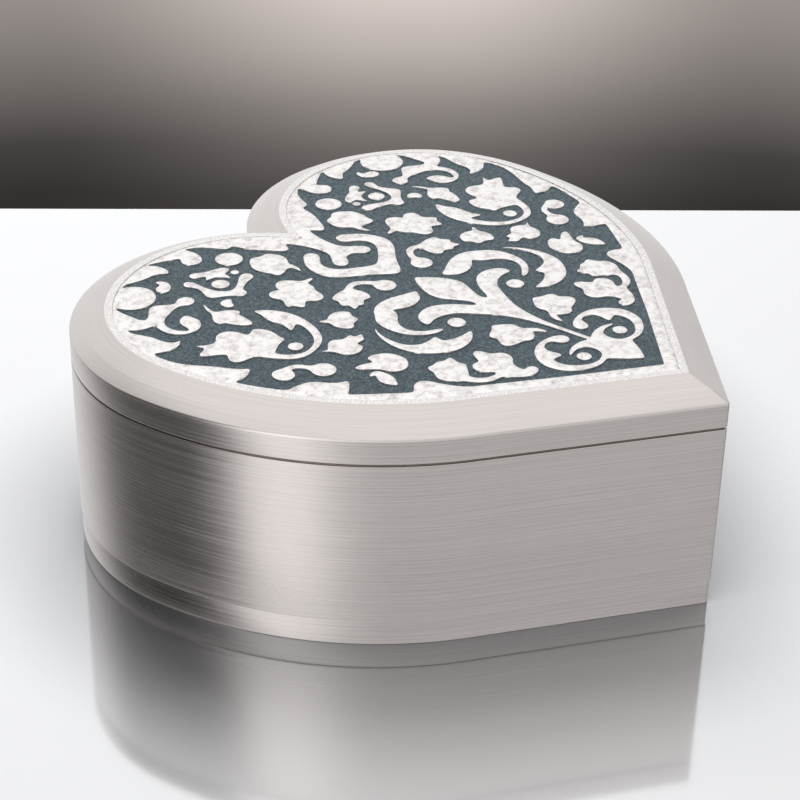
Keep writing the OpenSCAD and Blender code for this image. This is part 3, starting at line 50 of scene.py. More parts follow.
# the heart that every part of the case follows, in millimetres
heart = {"width": 104.0, "lobeRadius": 30.4, "sideRadius": 59.4, "pointAngle": 50.8,
         "hingeBack": 0.75, "barrelRadius": 1.1, "tipRounding": 0.45, "notchRounding": 0.35,
         "straightSteps": 24, "sideSteps": 64, "lobeSteps": 96, "cornerSteps": 6}
lobeX = heart["width"] / 2 - heart["lobeRadius"]
sideX = heart["width"] / 2 - heart["sideRadius"]
pointTurn = math.radians(heart["pointAngle"])
bendX = sideX + heart["sideRadius"] * math.cos(pointTurn)
bendY = -heart["sideRadius"] * math.sin(pointTurn)
tipY = bendY - bendX / math.tan(pointTurn)
backY = heart["lobeRadius"] + heart["hingeBack"] + heart["barrelRadius"]
centreY = -(tipY + backY) / 2


def heartRing(inset):
    # right half from the point to the notch, then its mirror image, anticlockwise
    lobeR = heart["lobeRadius"] - inset
    sideR = heart["sideRadius"] - inset
    corner = heart["cornerSteps"]
    rho = heart["tipRounding"]
    centre = tipY + (inset + rho) / math.sin(pointTurn)
    half = []
    for i in range(corner + 1):
        turn = -math.pi / 2 + (math.pi / 2 - pointTurn) * i / corner
        half.append((rho * math.cos(turn), centre + rho * math.sin(turn)))
    start = half[-1]
    end = (sideX + sideR * math.cos(pointTurn), -sideR * math.sin(pointTurn))
    for i in range(1, heart["straightSteps"] + 1):
        t = i / heart["straightSteps"]
        half.append((start[0] + (end[0] - start[0]) * t, start[1] + (end[1] - start[1]) * t))
    for i in range(1, heart["sideSteps"] + 1):
        turn = -pointTurn * (1 - i / heart["sideSteps"])
        half.append((sideX + sideR * math.cos(turn), sideR * math.sin(turn)))
    rho = heart["notchRounding"]
    notch = math.sqrt((lobeR + rho) ** 2 - lobeX ** 2)
    last = math.atan2(notch, -lobeX)
    for i in range(1, heart["lobeSteps"] + 1):
        turn = last * i / heart["lobeSteps"]
        half.append((lobeX + lobeR * math.cos(turn), lobeR * math.sin(turn)))
    first = last - math.pi
    for i in range(1, corner + 1):
        turn = first + (-math.pi / 2 - first) * i / corner
        half.append((rho * math.cos(turn), notch + rho * math.sin(turn)))
    return [(x, y + centreY) for x, y in half + [(-x, y) for x, y in reversed(half[1:-1])]]


def softened(points, closed=True, steps=4):
    # (inset, z, radius) corners, each turned into a small round
    result = []
    count = len(points)
    for i, (inset, z, radius) in enumerate(points):
        here = Vector((inset, z))
        if radius == 0 or (not closed and i in (0, count - 1)):
            result.append((inset, z))
            continue
        before = Vector(points[i - 1][:2]) - here
        after = Vector(points[(i + 1) % count][:2]) - here
        reach = min(radius / math.tan(before.angle(after) / 2), before.length * 0.45, after.length * 0.45)
        a = here + before.normalized() * reach
        b = here + after.normalized() * reach
        for k in range(steps + 1):
            t = k / steps
            spot = a * (1 - t) ** 2 + here * 2 * t * (1 - t) + b * t ** 2
            result.append((spot.x, spot.y))
    return result


def addPiece(name, mesh, material, body, replaced=()):
    piece = bpy.data.objects.new(name, mesh)
    bpy.context.scene.collection.objects.link(piece)
    if material is not None:
        if mesh.materials:
            mesh.materials.clear()  # this also sets every face back to the first material
        for one in material if isinstance(material, (list, tuple)) else [material]:
            mesh.materials.append(one)
    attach(piece, body)
    if replaced:
        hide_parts(*replaced)
    return piece


def heartLoft(name, profile, closed=False, faceSlot=None, sharp=40):
    # rings of the heart joined along an (inset, z) profile; u runs round it, v across it
    rings = [heartRing(inset) for inset, z in profile]
    count = len(rings[0])
    around = [0.0]
    outer = heartRing(0)
    for i in range(count):
        a, b = outer[i], outer[(i + 1) % count]
        around.append(around[-1] + math.hypot(b[0] - a[0], b[1] - a[1]) * mm)
    across = [0.0]
    for a, b in zip(profile, profile[1:] + profile[:1]):
        across.append(across[-1] + math.hypot(b[0] - a[0], b[1] - a[1]) * mm)
    work = bmesh.new()
    uv = work.loops.layers.uv.new("heartMap")
    verts = [[work.verts.new((x * mm, y * mm, z * mm)) for x, y in ring]
             for ring, (inset, z) in zip(rings, profile)]
    rows = len(profile) if closed else len(profile) - 1
    for row in range(rows):
        low, high = verts[row], verts[(row + 1) % len(profile)]
        for i in range(count):
            k = (i + 1) % count
            face = work.faces.new((low[i], low[k], high[k], high[i]))
            face.material_index = faceSlot(row) if faceSlot else 0
            places = ((i, row), (i + 1, row), (i + 1, row + 1), (i, row + 1))
            for loop, (u, v) in zip(face.loops, places):
                loop[uv].uv = (around[u], across[v])
    if not closed:
        for ring, row, index in ((verts[0][::-1], 0, 0), (verts[-1], len(profile) - 1, rows - 1)):
            face = work.faces.new(ring)
            face.material_index = faceSlot(index) if faceSlot else 0
            for loop in face.loops:
                loop[uv].uv = loop.vert.co.xy
    mesh = bpy.data.meshes.new(name)
    work.to_mesh(mesh)
    work.free()
    mesh.shade_smooth()
    mesh.set_sharp_from_angle(angle=math.radians(sharp))
    return mesh


rodSides = 48


def withRods(mesh, operation, rods, sharp=40):
    # rods: (middle, axis, radius, length), joined to a closed mesh or taken out of it
    body = bpy.data.objects.new("plainBody", mesh)
    bpy.context.scene.collection.objects.link(body)
    work = bmesh.new()
    for middle, axis, radius, length in rods:
        turn = Matrix.Rotation(math.pi / 2, 4, "Y") if axis == "X" else Matrix()
        bmesh.ops.create_cone(
            work, cap_ends=True, segments=rodSides, radius1=radius * mm, radius2=radius * mm,
            depth=length * mm, matrix=Matrix.Translation(middle) @ turn)
    bars = bpy.data.meshes.new("rods")
    work.to_mesh(bars)
    work.free()
    tool = bpy.data.objects.new("rods", bars)
    bpy.context.scene.collection.objects.link(tool)
    change = body.modifiers.new("change", "BOOLEAN")
    change.operation = operation
    change.solver = "EXACT"
    change.object = tool
    result = bpy.data.meshes.new_from_object(body.evaluated_get(bpy.context.evaluated_depsgraph_get()))
    bpy.data.objects.remove(body)
    bpy.data.objects.remove(tool)
    result.name = mesh.name
    result.shade_smooth()
    result.set_sharp_from_angle(angle=math.radians(sharp))
    return result


hingeSeat = {"radius": 1.3, "length": 9.0}


def hingeSeats(seam):
    # a round hollow at the back of each lobe for the hinge barrel
    axisY = centreY + heart["lobeRadius"] + heart["hingeBack"]
    spots = [Vector((side * lobeX, axisY, seam)) * mm for side in (-1, 1)]
    return [(spot, "X", hingeSeat["radius"], hingeSeat["length"]) for spot in spots]


def islandBoxes(node):
    # lowest and highest corner of each separate solid in a node
    work = bmesh.new()
    work.from_mesh(nodes[node].data)
    bmesh.ops.remove_doubles(work, verts=work.verts, dist=touching)
    left = set(work.verts)
    boxes = []
    while left:
        start = left.pop()
        island, queue = [start], [start]
        while queue:
            for edge in queue.pop().link_edges:
                for v in edge.verts:
                    if v in left:
                        left.remove(v)
                        island.append(v)
                        queue.append(v)
        boxes.append(tuple(Vector(f(v.co[k] for v in island) for k in range(3)) for f in (min, max)))
    work.free()
    return boxes


def uprightRods(node, radius, low, high):
    # a rod on the axis of each separate solid in a node, between two heights
    spots = [(a + b) / 2 for a, b in islandBoxes(node)]
    return [(Vector((spot.x, spot.y, (low + high) / 2 * mm)), "Z", radius, high - low) for spot in spots]


def addNode(tree, kind, links=(), **values):
    # links: pairs of input and the socket or constant that feeds it
    made = tree.nodes.new(kind)
    for key, value in values.items():
        setattr(made, key, value)
    for socket, source in links:
        if isinstance(source, bpy.types.NodeSocket):
            tree.links.new(source, made.inputs[socket])
        else:
            made.inputs[socket].default_value = source
    return made


def mathNode(tree, operation, a, b=0.0, clamp=False):
    return addNode(tree, "ShaderNodeMath", ((0, a), (1, b)), operation=operation, use_clamp=clamp).outputs[0]


def mixColour(tree, factor, a, b, blend="MIX"):
    links = ((0, factor), (6, a), (7, b))
    return addNode(tree, "ShaderNodeMix", links, data_type="RGBA", blend_type=blend).outputs[2]


def spread(tree, value, fromLow, fromHigh, toLow, toHigh):
    links = ((0, value), (1, fromLow), (2, fromHigh), (3, toLow), (4, toHigh))
    return addNode(tree, "ShaderNodeMapRange", links).outputs[0]


def linear(level):
    # a level from 0 to 255 as it is seen, turned into the value a shader wants
    part = level / 255
    return part / 12.92 if level <= 10 else ((part + 0.055) / 1.055) ** 2.4


def colour(r, g, b):
    return linear(r), linear(g), linear(b), 1.0


def outwards(tree, x, y):
    # unit direction away from the Z axis
    across = addNode(tree, "ShaderNodeCombineXYZ", ((0, x), (1, y), (2, 0.0))).outputs[0]
    return addNode(tree, "ShaderNodeVectorMath", ((0, across),), operation="NORMALIZE").outputs[0]


def scaled(tree, vector, factor):
    links = ((0, vector), ("Scale", factor))
    return addNode(tree, "ShaderNodeVectorMath", links, operation="SCALE").outputs[0]


def newGroup(name, inputs, outputs):
    group = bpy.data.node_groups.new(name, "ShaderNodeTree")
    for label, kind, value in inputs:
        socket = group.interface.new_socket(label, in_out="INPUT", socket_type=kind)
        if value is not None:
            socket.default_value = value
    for label, kind in outputs:
        group.interface.new_socket(label, in_out="OUTPUT", socket_type=kind)
    return group, group.nodes.new("NodeGroupInput"), group.nodes.new("NodeGroupOutput")


def useGroup(tree, group, links=()):
    return addNode(tree, "ShaderNodeGroup", links, node_tree=group)


def makeGrainGroup():
    # long fine lines, as a brush or a wheel leaves them on metal
    group, inside, outside = newGroup(
        "grainLines",
        (("Vector", "NodeSocketVector", None), ("Scale", "NodeSocketVector", (30, 30, 3000)),
         ("Breakup", "NodeSocketFloat", 0.3)),
        (("Lines", "NodeSocketFloat"), ("Broad", "NodeSocketFloat")))
    given = inside.outputs
    place = addNode(group, "ShaderNodeVectorMath", ((0, given["Vector"]), (1, given["Scale"])),
                    operation="MULTIPLY").outputs[0]
    fine = addNode(group, "ShaderNodeTexNoise", (("Vector", place), ("Scale", 1.0), ("Detail", 3.0),
                                                ("Roughness", 0.7)))
    wide = addNode(group, "ShaderNodeVectorMath", ((0, place), (1, (0.35, 0.35, 0.16))),
                   operation="MULTIPLY")
    broad = addNode(group, "ShaderNodeTexNoise", (("Vector", wide.outputs[0]), ("Scale", 1.0),
                                                 ("Detail", 2.0)))
    mixed = addNode(group, "ShaderNodeMix", ((0, inside.outputs["Breakup"]), (2, fine.outputs[0]),
                                             (3, broad.outputs[0])), data_type="FLOAT")
    group.links.new(mixed.outputs[0], outside.inputs["Lines"])
    group.links.new(broad.outputs[0], outside.inputs["Broad"])
    return group


def makeHandlingGroup():
    # soft cloudy smears and tiny specks that handling leaves
    group, inside, outside = newGroup(
        "handlingMarks",
        (("Vector", "NodeSocketVector", None), ("Size", "NodeSocketFloat", 60.0),
         ("Specks", "NodeSocketFloat", 900.0)),
        (("Smears", "NodeSocketFloat"), ("Dust", "NodeSocketFloat")))
    smear = addNode(group, "ShaderNodeTexNoise", (("Vector", inside.outputs["Vector"]),
                                                  ("Scale", inside.outputs["Size"]), ("Detail", 4.0),
                                                  ("Roughness", 0.55), ("Distortion", 0.6)))
    speck = addNode(group, "ShaderNodeTexNoise", (("Vector", inside.outputs["Vector"]),
                                                  ("Scale", inside.outputs["Specks"]), ("Detail", 2.0)))
    group.links.new(spread(group, smear.outputs[0], 0.35, 0.65, 0.0, 1.0), outside.inputs["Smears"])
    group.links.new(spread(group, speck.outputs[0], 0.68, 0.78, 0.0, 1.0), outside.inputs["Dust"])
    return group


def makeGrainSpeckGroup():
    # close granular specks, as in matt enamel, sandblasted metal or flock
    group, inside, outside = newGroup(
        "granularSpecks",
        (("Vector", "NodeSocketVector", None), ("Grain", "NodeSocketFloat", 2500.0)),
        (("Fine", "NodeSocketFloat"), ("Coarse", "NodeSocketFloat")))
    fine = addNode(group, "ShaderNodeTexNoise", (("Vector", inside.outputs["Vector"]),
                                                 ("Scale", inside.outputs["Grain"]), ("Detail", 2.0),
                                                 ("Roughness", 0.8)))
    third = mathNode(group, "MULTIPLY", inside.outputs["Grain"], 0.3)
    coarse = addNode(group, "ShaderNodeTexNoise", (("Vector", inside.outputs["Vector"]), ("Scale", third),
                                                   ("Detail", 3.0), ("Roughness", 0.6)))
    group.links.new(fine.outputs[0], outside.inputs["Fine"])
    group.links.new(coarse.outputs[0], outside.inputs["Coarse"])
    return group


grainLines = makeGrainGroup()
handlingMarks = makeHandlingGroup()
granularSpecks = makeGrainSpeckGroup()


def newMaterial(name, **sockets):
    material = bpy.data.materials.new(name)
    material.use_nodes = True
    tree = material.node_tree
    shader = tree.nodes["Principled BSDF"]
    for key, value in sockets.items():
        shader.inputs[key.replace("_", " ")].default_value = value
    return material, tree, shader


def objectPlace(tree):
    return addNode(tree, "ShaderNodeTexCoord").outputs["Object"]


def bumpFrom(tree, shader, height, strength, distance):
    links = (("Height", height), ("Strength", strength), ("Distance", distance))
    made = addNode(tree, "ShaderNodeBump", links)
    tree.links.new(made.outputs[0], shader.inputs["Normal"])


def brushedMetal(name, tone, lineScale, roughness=(0.25, 0.4), depth=0.02, useMap=None, contrast=0.12,
                 smears=0.06, breakup=0.3, marks=60.0, stretch=0.0):
    material, tree, shader = newMaterial(name, Metallic=1.0, Anisotropic=stretch)
    if useMap:
        place = addNode(tree, "ShaderNodeUVMap", uv_map=useMap).outputs[0]
    else:
        place = objectPlace(tree)
    lines = useGroup(tree, grainLines, (("Vector", place), ("Scale", lineScale), ("Breakup", breakup)))
    marksNode = useGroup(tree, handlingMarks, (("Vector", objectPlace(tree)), ("Size", marks)))
    level = spread(tree, lines.outputs["Lines"], 0.3, 0.7, 0.0, 1.0)
    dark = tuple(c * (1 - contrast) for c in tone[:3]) + (1.0,)
    light = tuple(min(1.0, c * (1 + contrast)) for c in tone[:3]) + (1.0,)
    base = mixColour(tree, level, dark, light)
    tree.links.new(base, shader.inputs["Base Color"])
    rough = spread(tree, lines.outputs["Lines"], 0.3, 0.7, roughness[0], roughness[1])
    smear = mathNode(tree, "MULTIPLY", marksNode.outputs["Smears"], smears)
    tree.links.new(mathNode(tree, "ADD", rough, smear, clamp=True), shader.inputs["Roughness"])
    bumpFrom(tree, shader, lines.outputs["Lines"], 1.0, depth * mm)
    return material


print("shader groups ready")

# finishes: colour() takes a colour as it is seen, and the plain values are linear ones
finish = {
    "caseTone": colour(186, 180, 177), "slopeTone": colour(208, 202, 199),
    "borderDark": colour(214, 210, 209), "borderLight": colour(255, 253, 252),
    "reliefTone": colour(250, 247, 246), "reliefShade": colour(186, 178, 176),
    "reliefLight": colour(255, 252, 250), "enamelTone": colour(68, 81, 87),
    "enamelFleck": colour(100, 114, 119), "enamelPit": colour(46, 58, 66),
    "velvetDark": colour(20, 30, 64), "velvetLight": colour(44, 60, 112),
    "velvetSmear": colour(54, 70, 122), "velvetSheen": colour(120, 140, 200),
    "brassTone": colour(206, 172, 104), "steelTone": colour(176, 178, 182),
    "zincTone": colour(152, 154, 158), "blueSteel": colour(86, 98, 128),
    "nylonTone": colour(232, 229, 219), "blackTone": colour(26, 26, 28),
    # painted shade: the darker table colour and mirror tint below are laid round the box's foot
    "paintedContactShade": (0.4, 0.4, 0.41, 1.0), "tableWhite": (0.86, 0.86, 0.87, 1.0),
    "paintedMirrorShade": (0.42, 0.43, 0.45, 1.0), "mirrorTone": (0.92, 0.93, 0.95, 1.0),
    "mirrorAround": (0.96, 0.96, 0.97, 1.0), "dust": (0.9, 0.9, 0.9, 1.0), "clear": (1.0, 1.0, 1.0, 1.0),
    "overhead": (1.0, 0.99, 0.98, 1.0), "backdropTint": (1.08, 0.97, 0.91, 1.0)}

caseMetal = brushedMetal(
    "caseMetal", finish["caseTone"], (22.0, 3600.0, 1.0), roughness=(0.17, 0.27), depth=0.005,
    useMap="heartMap", contrast=0.14, breakup=0.16, smears=0.03, stretch=0.7)
slopeMetal = brushedMetal(
    "slopeMetal", finish["slopeTone"], (30.0, 4200.0, 1.0), roughness=(0.22, 0.34), depth=0.005,
    useMap="heartMap", contrast=0.1, breakup=0.15, smears=0.03, stretch=0.5)


def makeBorderMetal():
    material, tree, shader = newMaterial("borderMetal", Metallic=1.0)
    specks = useGroup(tree, granularSpecks, (("Vector", objectPlace(tree)), ("Grain", 3200.0)))
    level = spread(tree, specks.outputs["Fine"], 0.35, 0.65, 0.0, 1.0)
    base = mixColour(tree, level, finish["borderDark"], finish["borderLight"])
    tree.links.new(base, shader.inputs["Base Color"])
    tree.links.new(spread(tree, specks.outputs["Coarse"], 0.3, 0.7, 0.3, 0.5), shader.inputs["Roughness"])
    bumpFrom(tree, shader, specks.outputs["Fine"], 1.0, 0.02 * mm)
    return material


def makeReliefMetal():
    material, tree, shader = newMaterial("reliefMetal", Metallic=1.0)
    place = objectPlace(tree)
    patches = addNode(tree, "ShaderNodeTexNoise", (("Vector", place), ("Scale", 620.0), ("Detail", 7.0),
                                                   ("Roughness", 0.74), ("Distortion", 0.25)))
    specks = useGroup(tree, granularSpecks, (("Vector", place), ("Grain", 4200.0)))
    shade = spread(tree, patches.outputs[0], 0.46, 0.68, 0.0, 1.0)
    base = mixColour(tree, shade, finish["reliefTone"], finish["reliefShade"])
    level = spread(tree, specks.outputs["Fine"], 0.35, 0.65, 0.0, 0.35)
    base = mixColour(tree, level, base, finish["reliefLight"])
    tree.links.new(base, shader.inputs["Base Color"])
    tree.links.new(spread(tree, shade, 0.0, 1.0, 0.34, 0.5), shader.inputs["Roughness"])
    bumps = mathNode(tree, "MULTIPLY", patches.outputs[0], 2.0)
    height = mathNode(tree, "ADD", bumps, specks.outputs["Fine"])
    bumpFrom(tree, shader, height, 1.0, 0.035 * mm)
    return material


def makeEnamel():
    material, tree, shader = newMaterial("enamel", Specular_IOR_Level=0.35)
    specks = useGroup(tree, granularSpecks, (("Vector", objectPlace(tree)), ("Grain", 2600.0)))
    low = spread(tree, specks.outputs["Fine"], 0.36, 0.5, 1.0, 0.0)
    high = spread(tree, specks.outputs["Fine"], 0.5, 0.66, 0.0, 1.0)
    base = mixColour(tree, low, finish["enamelTone"], finish["enamelPit"])
    base = mixColour(tree, high, base, finish["enamelFleck"])
    tree.links.new(base, shader.inputs["Base Color"])
    tree.links.new(spread(tree, specks.outputs["Coarse"], 0.3, 0.7, 0.5, 0.7), shader.inputs["Roughness"])
    bumpFrom(tree, shader, specks.outputs["Fine"], 1.0, 0.03 * mm)
    return material


borderMetal = makeBorderMetal()
reliefMetal = makeReliefMetal()
enamelFinish = makeEnamel()
print("lid finishes ready")

caseWall = {"bottom": 4.4, "top": 31.7, "wall": 2.6, "lipInset": 1.4, "lipTop": 32.7, "edge": 0.14,
            "lipEdge": 0.2, "footEdge": 0.1, "bossRadius": 4.5, "bossBottom": 9.5, "bossTop": 28.5,
            "bore": 1.0, "boreLength": 8.0}
wallMesh = heartLoft("caseWall", softened([
    (0, caseWall["bottom"], caseWall["edge"]), (0, caseWall["top"], caseWall["edge"]),
    (caseWall["lipInset"], caseWall["top"], 0),
    (caseWall["lipInset"], caseWall["lipTop"], caseWall["lipEdge"]),
    (caseWall["wall"], caseWall["lipTop"], caseWall["lipEdge"]),
    (caseWall["wall"], caseWall["bottom"], caseWall["footEdge"])]), closed=True)
bossBottom = caseWall["bossBottom"]
bosses = uprightRods("base_screws", caseWall["bossRadius"], bossBottom, caseWall["bossTop"])
bores = uprightRods("base_screws", caseWall["bore"], bossBottom - 1, bossBottom + caseWall["boreLength"])
wallMesh = withRods(wallMesh, "UNION", bosses)
wallMesh = withRods(wallMesh, "DIFFERENCE", hingeSeats(caseWall["top"]) + bores)
addPiece("caseWall", wallMesh, caseMetal, "case", ("case_wall",))

# base pan: a floor on a ring skirt, with a hollow beneath it for the folded key
basePan = {"step": 0.15, "skirtTop": 4.4, "plugInset": 2.75, "rimWidth": 1.4, "recess": 8.0, "floorTop": 9.5,
           "screwHole": 1.05, "mountHole": 1.35, "keyHole": 3.3, "edge": 0.2}
rimInset = basePan["plugInset"] + basePan["rimWidth"]
panMesh = heartLoft("basePan", softened([
    (rimInset, basePan["recess"], 0), (rimInset, 0, basePan["edge"]), (basePan["step"], 0, basePan["edge"]),
    (basePan["step"], basePan["skirtTop"], basePan["edge"]), (basePan["plugInset"], basePan["skirtTop"], 0),
    (basePan["plugInset"], basePan["floorTop"], 0)], closed=False))
panHoles = []
holeOf = {"base_screws": basePan["screwHole"], "movement_screws": basePan["mountHole"],
          "winding_arbor": basePan["keyHole"]}
for node, radius in holeOf.items():
    panHoles += uprightRods(node, radius, basePan["recess"] - 1, basePan["floorTop"] + 1)
panMesh = withRods(panMesh, "DIFFERENCE", panHoles)
addPiece("basePan", panMesh, caseMetal, "case", ("base_pan",))

lid = {"seam": 31.7, "seamGap": 0.35, "seamDepth": 0.5, "bandTop": 36.1, "slopeWidth": 5.6, "top": 39.0,
       "borderWidth": 1.2, "recess": 38.3, "inside": 2.6, "rebateInset": 1.2, "rebateTop": 33.0,
       "ceiling": 36.2, "bulgeInset": 2.3, "bulge": 0.14, "enamelTop": 38.6, "belowTop": 0.12,
       "besideSlope": 0.2, "belowBand": 0.3}
enamelInset = lid["slopeWidth"] + lid["borderWidth"]
rise = (lid["top"] - lid["bandTop"]) * lid["bulgeInset"] / lid["slopeWidth"]
bulgeZ = lid["bandTop"] + rise + lid["bulge"]
lidCorners = [
    (lid["inside"], lid["ceiling"], 0), (lid["inside"], lid["rebateTop"], 0.1),
    (lid["rebateInset"], lid["rebateTop"], 0), (lid["rebateInset"], lid["seam"], 0.08),
    (lid["seamDepth"], lid["seam"], 0.08), (lid["seamDepth"], lid["seam"] + lid["seamGap"], 0),
    (0, lid["seam"] + lid["seamGap"], 0.15), (0, lid["bandTop"], 0.5), (lid["bulgeInset"], bulgeZ, 0.6),
    (lid["slopeWidth"], lid["top"], 0.25), (enamelInset, lid["top"], 0.15), (enamelInset, lid["recess"], 0)]
lidProfile = softened(lidCorners, closed=False)


def lidFaceSlot(row):
    inset, z = lidProfile[row]
    # 0 is the plain case metal, 1 the slope and 2 the border
    if z > lid["top"] - lid["belowTop"] and inset > lid["slopeWidth"] - lid["besideSlope"]:
        return 2
    if z > lid["bandTop"] - lid["belowBand"] and inset < lid["slopeWidth"] and row > len(lidProfile) / 2:
        return 1
    return 0


lidMesh = heartLoft("lidShell", lidProfile, faceSlot=lidFaceSlot)
lidMesh = withRods(lidMesh, "DIFFERENCE", hingeSeats(lid["seam"]))
addPiece("lidShell", lidMesh, (caseMetal, slopeMetal, borderMetal), "lid", ("lid_shell",))

enamelMesh = heartLoft("enamelField", [(enamelInset, lid["recess"]), (enamelInset, lid["enamelTop"])])
addPiece("enamelField", enamelMesh, enamelFinish, "lid", ("enamel",))
print("case and lid shells ready")

# relief: the foliage of the lid as soft-edged raised metal
relief = {"node": "foliage", "spacing": 0.42, "grid": 0.42, "roll": 0.5, "edgeDrop": 0.16, "sway": 0.05,
          "smoothing": 2, "swayScale": 0.35, "swaySlice": 3.1}


def outlineLoops(node, z):
    # closed outlines of the node's upper faces, in millimetres
    work = bmesh.new()
    work.from_mesh(nodes[node].data)
    bmesh.ops.remove_doubles(work, verts=work.verts, dist=touching)
    top = {f for f in work.faces if f.normal.z > 0.9 and abs(f.calc_center_median().z / mm - z) < 0.05}
    following = {}
    for face in top:
        for loop in face.loops:
            twin = [f for f in loop.edge.link_faces if f is not face and f in top]
            if not twin:
                following.setdefault(loop.vert.index, []).append(loop.link_loop_next.vert.index)
    place = {v.index: (v.co.x / mm, v.co.y / mm) for v in work.verts}
    work.free()
    loops = []
    while following:
        start = next(iter(following))
        walk = [start]
        here = start
        while True:
            options = following[here]
            step = options.pop()
            if not options:
                del following[here]
            if step == start:
                break
            walk.append(step)
            here = step
        loops.append([place[i] for i in walk])
    return loops


def betweenPoints(before, here, after):
    return tuple(h * 0.5 + (b + a) * 0.25 for b, h, a in zip(before, here, after))


def resampled(loop, spacing, smoothing):
    # even steps along a closed outline, its corners then eased a few times
    lengths = [math.hypot(b[0] - a[0], b[1] - a[1]) for a, b in zip(loop, loop[1:] + loop[:1])]
    total = sum(lengths)
    count = max(8, round(total / spacing))
    result = []
    index, passed = 0, 0.0
    for k in range(count):
        target = total * k / count
        while index < len(lengths) - 1 and passed + lengths[index] < target:
            passed += lengths[index]
            index += 1
        a, b = loop[index], loop[(index + 1) % len(loop)]
        t = (target - passed) / max(lengths[index], 1e-9)
        result.append((a[0] + (b[0] - a[0]) * t, a[1] + (b[1] - a[1]) * t))
    for turn in range(smoothing):
        result = [betweenPoints(result[i - 1], result[i], result[(i + 1) % count]) for i in range(count)]
    return result


def insideTest(loops):
    # even-odd test, with the edges sorted into horizontal strips
    strip = 0.5
    rows = {}
    for loop in loops:
        for a, b in zip(loop, loop[1:] + loop[:1]):
            if a[1] == b[1]:
                continue
            low, high = min(a[1], b[1]), max(a[1], b[1])
            for row in range(math.floor(low / strip), math.floor(high / strip) + 1):
                rows.setdefault(row, []).append((a, b))

    def isInside(x, y):
        hits = 0
        for a, b in rows.get(math.floor(y / strip), ()):
            if (a[1] > y) != (b[1] > y) and x < a[0] + (y - a[1]) / (b[1] - a[1]) * (b[0] - a[0]):
                hits += 1
        return hits % 2 == 1
    return isInside


def raisedSheet(name, loops, grid, heightAt, floor, sharp=55):
    # fills the outlines with a mesh whose height follows heightAt(x, y, distance from the edge)
    loops = [loop for loop in loops if len(loop) > 7]
    isInside = insideTest(loops)
    edge = KDTree(sum(len(loop) for loop in loops))
    points, borders = [], []
    for loop in loops:
        first = len(points)
        for x, y in loop:
            edge.insert((x, y, 0), len(points))
            points.append((x, y))
        borders += [(first + i, first + (i + 1) % len(loop)) for i in range(len(loop))]
    edge.balance()
    xs = [p[0] for p in points]
    ys = [p[1] for p in points]
    for j in range(math.floor(min(ys) / grid), math.ceil(max(ys) / grid) + 1):
        for i in range(math.floor(min(xs) / grid), math.ceil(max(xs) / grid) + 1):
            x = (i + 0.5 * (j % 2)) * grid
            y = j * grid
            if isInside(x, y) and edge.find((x, y, 0))[2] > 0.5 * grid:
                points.append((x, y))
    filled = delaunay_2d_cdt([Vector(p) for p in points], borders, [], 0, 1e-5)
    flat, faces = filled[0], filled[2]
    work = bmesh.new()
    heights = [heightAt(p.x, p.y, edge.find((p.x, p.y, 0))[2]) for p in flat]
    upper = [work.verts.new((p.x * mm, p.y * mm, z * mm)) for p, z in zip(flat, heights)]
    lower = [work.verts.new((p.x * mm, p.y * mm, floor * mm)) for p in flat]
    rim = {}  # directed edges with a triangle on one side only
    for face in faces:
        a, b, c = (flat[i] for i in face)
        if not isInside((a.x + b.x + c.x) / 3, (a.y + b.y + c.y) / 3):
            continue
        turn = (b.x - a.x) * (c.y - a.y) - (b.y - a.y) * (c.x - a.x)
        corners = list(face) if turn > 0 else list(face)[::-1]
        work.faces.new([upper[i] for i in corners])
        work.faces.new([lower[i] for i in corners[::-1]])
        for i, j in zip(corners, corners[1:] + corners[:1]):
            if rim.pop((j, i), None) is None:
                rim[i, j] = True
    for i, j in rim:
        work.faces.new((upper[j], upper[i], lower[i], lower[j]))
    bmesh.ops.delete(work, geom=[v for v in work.verts if not v.link_faces], context="VERTS")
    if heightAt(xs[0], ys[0], 0) < floor:
        bmesh.ops.reverse_faces(work, faces=work.faces)
    mesh = bpy.data.meshes.new(name)
    work.to_mesh(mesh)
    work.free()
    mesh.shade_smooth()
    mesh.set_sharp_from_angle(angle=math.radians(sharp))
    return mesh


def makeRelief():
    low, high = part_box(relief["node"])
    top = high.z / mm

    def reliefHeight(x, y, away):
        t = min(1.0, away / relief["roll"])
        fall = 1 - math.sqrt(1 - (1 - t) ** 2)
        sway = noise.noise(Vector((x * relief["swayScale"], y * relief["swayScale"], relief["swaySlice"])))
        return top - relief["edgeDrop"] * fall - relief["sway"] * (0.5 + 0.5 * sway) * t

    loops = [resampled(loop, relief["spacing"], relief["smoothing"])
             for loop in outlineLoops(relief["node"], top)]
    return raisedSheet("foliageRelief", loops, relief["grid"], reliefHeight, low.z / mm)


reliefMesh = makeRelief()
addPiece("foliageRelief", reliefMesh, reliefMetal, "lid", ("foliage",))
print("relief ready,", len(reliefMesh.polygons), "faces")


easing = {"segments": 2, "merged": math.radians(0.3)}


